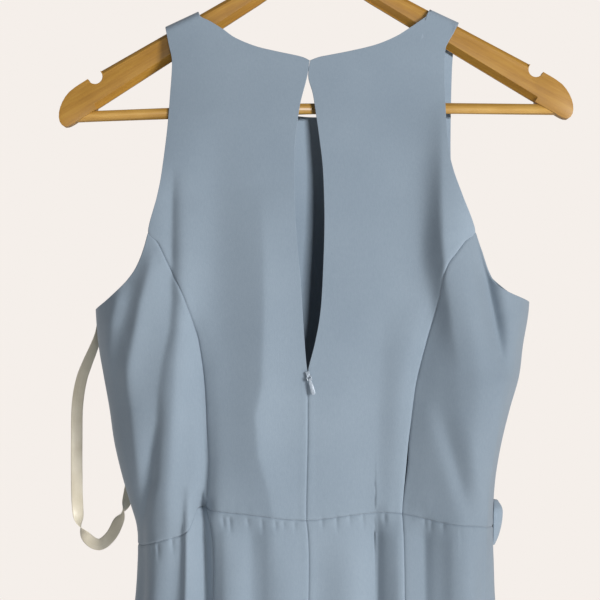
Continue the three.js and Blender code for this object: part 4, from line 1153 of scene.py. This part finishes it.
def wood_finish(name, tones, arms):
    """Varnished wood, its grain along the bar or along each of the board's two arms"""
    finish = Finish(name)
    lengthways = finish.node("ShaderNodeTexCoord")["Object"]
    if arms:
        level = finish.mapped(lengthways, turn=(0, -TILT, 0))
        parts = finish.node("ShaderNodeSeparateXYZ", {}, {"Vector": level})
        mirrored = finish.node("ShaderNodeMath", {"operation": "ABSOLUTE"}, {0: parts["X"]})["Value"]
        folded = finish.node("ShaderNodeCombineXYZ", {}, {"X": mirrored, "Y": parts["Y"], "Z": parts["Z"]})
        lengthways = finish.mapped(folded["Vector"], turn=(0, -ARM_FALL, 0))
    streaks = finish.noise(finish.mapped(lengthways, (9, 230, 230)), 1.0, 4.0, 0.6)
    pores = finish.noise(finish.mapped(lengthways, (70, 1500, 1500)), 1.0, 2.0, 0.6)
    clouds = finish.noise(lengthways, 22.0, 2.0)
    figure = streaks * 0.5 + clouds * 0.3 + pores * 0.2
    colour = finish.ramp(figure, list(zip((0.3, 0.5, 0.66), tones)))
    return finish.wear(
        Base_Color=colour,
        Roughness=pores * 0.25 + 0.3,
        Coat_Weight=0.12,
        Coat_Roughness=0.3,
        Normal=finish.bump(streaks * 0.4 + pores * 0.6, 0.25, 0.0002),
    )


board_wood = wood_finish("varnished_board", BOARD_TONES, True)
bar_wood = wood_finish("varnished_bar", BAR_TONES, False)
copy_of_node("hanger_board_wood", "hanger_board", 0.9, 3, board_wood)
copy_of_node("hanger_bar_wood", "hanger_bar", 0.5, 2, bar_wood)


def steel_finish():
    finish = Finish("bright_steel_wire")
    place = finish.place()
    drawn = finish.noise(finish.place((900, 900, 900)), 1.0, 3.0)
    smears = finish.noise(place, 70.0, 3.0)
    colour = finish.ramp(smears, [(0.3, (0.42, 0.43, 0.44, 1)), (0.7, (0.58, 0.58, 0.58, 1))])
    return finish.wear(
        Base_Color=colour,
        Metallic=1.0,
        Roughness=smears * 0.2 + 0.16,
        Normal=finish.bump(drawn, 0.05, 0.0001),
    )


copy_of_node("hanger_hook_wire", "hanger_hook", 0.2, 2, steel_finish())

# Floor, backdrop, light and camera
# A plain pale floor under pale air. A large soft light stands at the camera's right, with weaker ones
# behind the camera, at its left and beyond the dress. The camera is square to the back of the bodice,
# framed as in the photograph.
FRAME_WIDTH = 0.5202
CAMERA_DISTANCE = 1.55
FRAME_CENTRE = (-0.0104, 0, -0.3835)
FLOOR_HALF = 5400
FLOOR_BELOW_HEM = 120


def floor_finish():
    finish = Finish("studio_floor")
    cloudy = finish.noise(finish.place(), 1.5)
    colour = (0.74, 0.715, 0.69, 1)
    tone = finish.ramp(cloudy, [(0.3, colour), (0.7, tuple(min(1, c * 1.02) for c in colour))])
    return finish.wear(
        Base_Color=tone,
        Roughness=0.9,
        Specular_IOR_Level=0.1,
        Emission_Color=(0.915, 0.865, 0.825, 1),
        Emission_Strength=0.3,
    )


floor_corners = [(x * FLOOR_HALF, y * FLOOR_HALF, HEM_Z - FLOOR_BELOW_HEM)
                 for x, y in ((-1, -1), (1, -1), (1, 1), (-1, 1))]
mesh_object("studio_floor", floor_corners, [[0, 1, 2, 3]], 0, floor_finish())


def soft_light(name, place, target, size, power, colour):
    lamp = bpy.data.lights.new(name, "AREA")
    lamp.shape = "RECTANGLE"
    lamp.size, lamp.size_y = size
    lamp.energy = power
    lamp.color = colour
    light = bpy.data.objects.new(name, lamp)
    light.location = place
    light.rotation_euler = (Vector(target) - Vector(place)).to_track_quat("-Z", "Y").to_euler()
    bpy.context.scene.collection.objects.link(light)
    return light


def lit_pieces(light, names, link_state="INCLUDE"):
    """Lets a light reach only the named pieces, or all but them"""
    pieces = bpy.data.collections.new("lit_by_" + light.name)
    for name in names:
        pieces.objects.link(bpy.data.objects[name])
    for entry in pieces.collection_objects:
        entry.light_linking.link_state = link_state
    light.light_linking.receiver_collection = pieces


# The key is a quarter weaker on the panels that face it. It doesn't reach what shows through the
# keyhole, which has a small light of its own.
SEEN_THROUGH_THE_KEYHOLE = ["bodice_front_cloth", "hanger_bar_wood"]
FACING_THE_KEY = ["bodice_side_back_right_cloth", "skirt_side_back_right_cloth"]
KEY_PLACE = (2.5, -2.45, 0.05)
KEY_SIZE = (0.95, 1.4)
KEY_COLOUR = (1, 0.985, 0.965)
MID_BODICE = (0, 0, -0.45)

key = soft_light("key_light", KEY_PLACE, MID_BODICE, KEY_SIZE, 124, KEY_COLOUR)
lit_pieces(key, [*FACING_THE_KEY, *SEEN_THROUGH_THE_KEYHOLE], "EXCLUDE")
side_key = soft_light("side_key_light", KEY_PLACE, MID_BODICE, KEY_SIZE, 92, KEY_COLOUR)
lit_pieces(side_key, FACING_THE_KEY)
front = soft_light("front_light", (0.26, -2.6, -0.15), (0, 0, -0.4), (0.5, 0.5), 7, (1, 1, 1))
lit_pieces(front, SEEN_THROUGH_THE_KEYHOLE, "EXCLUDE")
soft_light("fill_light", (-2.2, -1.9, 0.1), MID_BODICE, (2.0, 2.0), 2, (0.94, 0.97, 1))
inside = soft_light("inside_light", (0.24, -2.6, -0.2), (0, 0, -0.3), (0.16, 0.16), 78, (1, 1, 1))
lit_pieces(inside, SEEN_THROUGH_THE_KEYHOLE)
soft_light("far_light", (-1.8, 3.0, 0.6), (0, 0, -0.7), (1.6, 1.6), 26, (1, 0.99, 0.97))

world = bpy.data.worlds.new("studio_air")
world.use_nodes = True
air = world.node_tree
air_light = air.nodes["Background"]
air_light.inputs["Color"].default_value = (0.93, 0.96, 1, 1)
air_light.inputs["Strength"].default_value = 0.2
backdrop = air.nodes.new("ShaderNodeBackground")
backdrop.inputs["Color"].default_value = (0.913, 0.863, 0.823, 1)
seen = air.nodes.new("ShaderNodeLightPath")
either = air.nodes.new("ShaderNodeMixShader")
air.links.new(seen.outputs["Is Camera Ray"], either.inputs[0])
air.links.new(air_light.outputs[0], either.inputs[1])
air.links.new(backdrop.outputs[0], either.inputs[2])
air.links.new(either.outputs[0], air.nodes["World Output"].inputs["Surface"])
bpy.context.scene.world = world
bpy.context.scene.view_settings.view_transform = "Standard"

lens = bpy.data.cameras.new("camera")
lens.sensor_width = 36
lens.lens = lens.sensor_width * CAMERA_DISTANCE / FRAME_WIDTH
camera = bpy.data.objects.new("camera", lens)
camera.location = (FRAME_CENTRE[0], -CAMERA_DISTANCE, FRAME_CENTRE[2])
camera.rotation_euler = (math.radians(90), 0, 0)
bpy.context.scene.collection.objects.link(camera)
bpy.context.scene.camera = camera
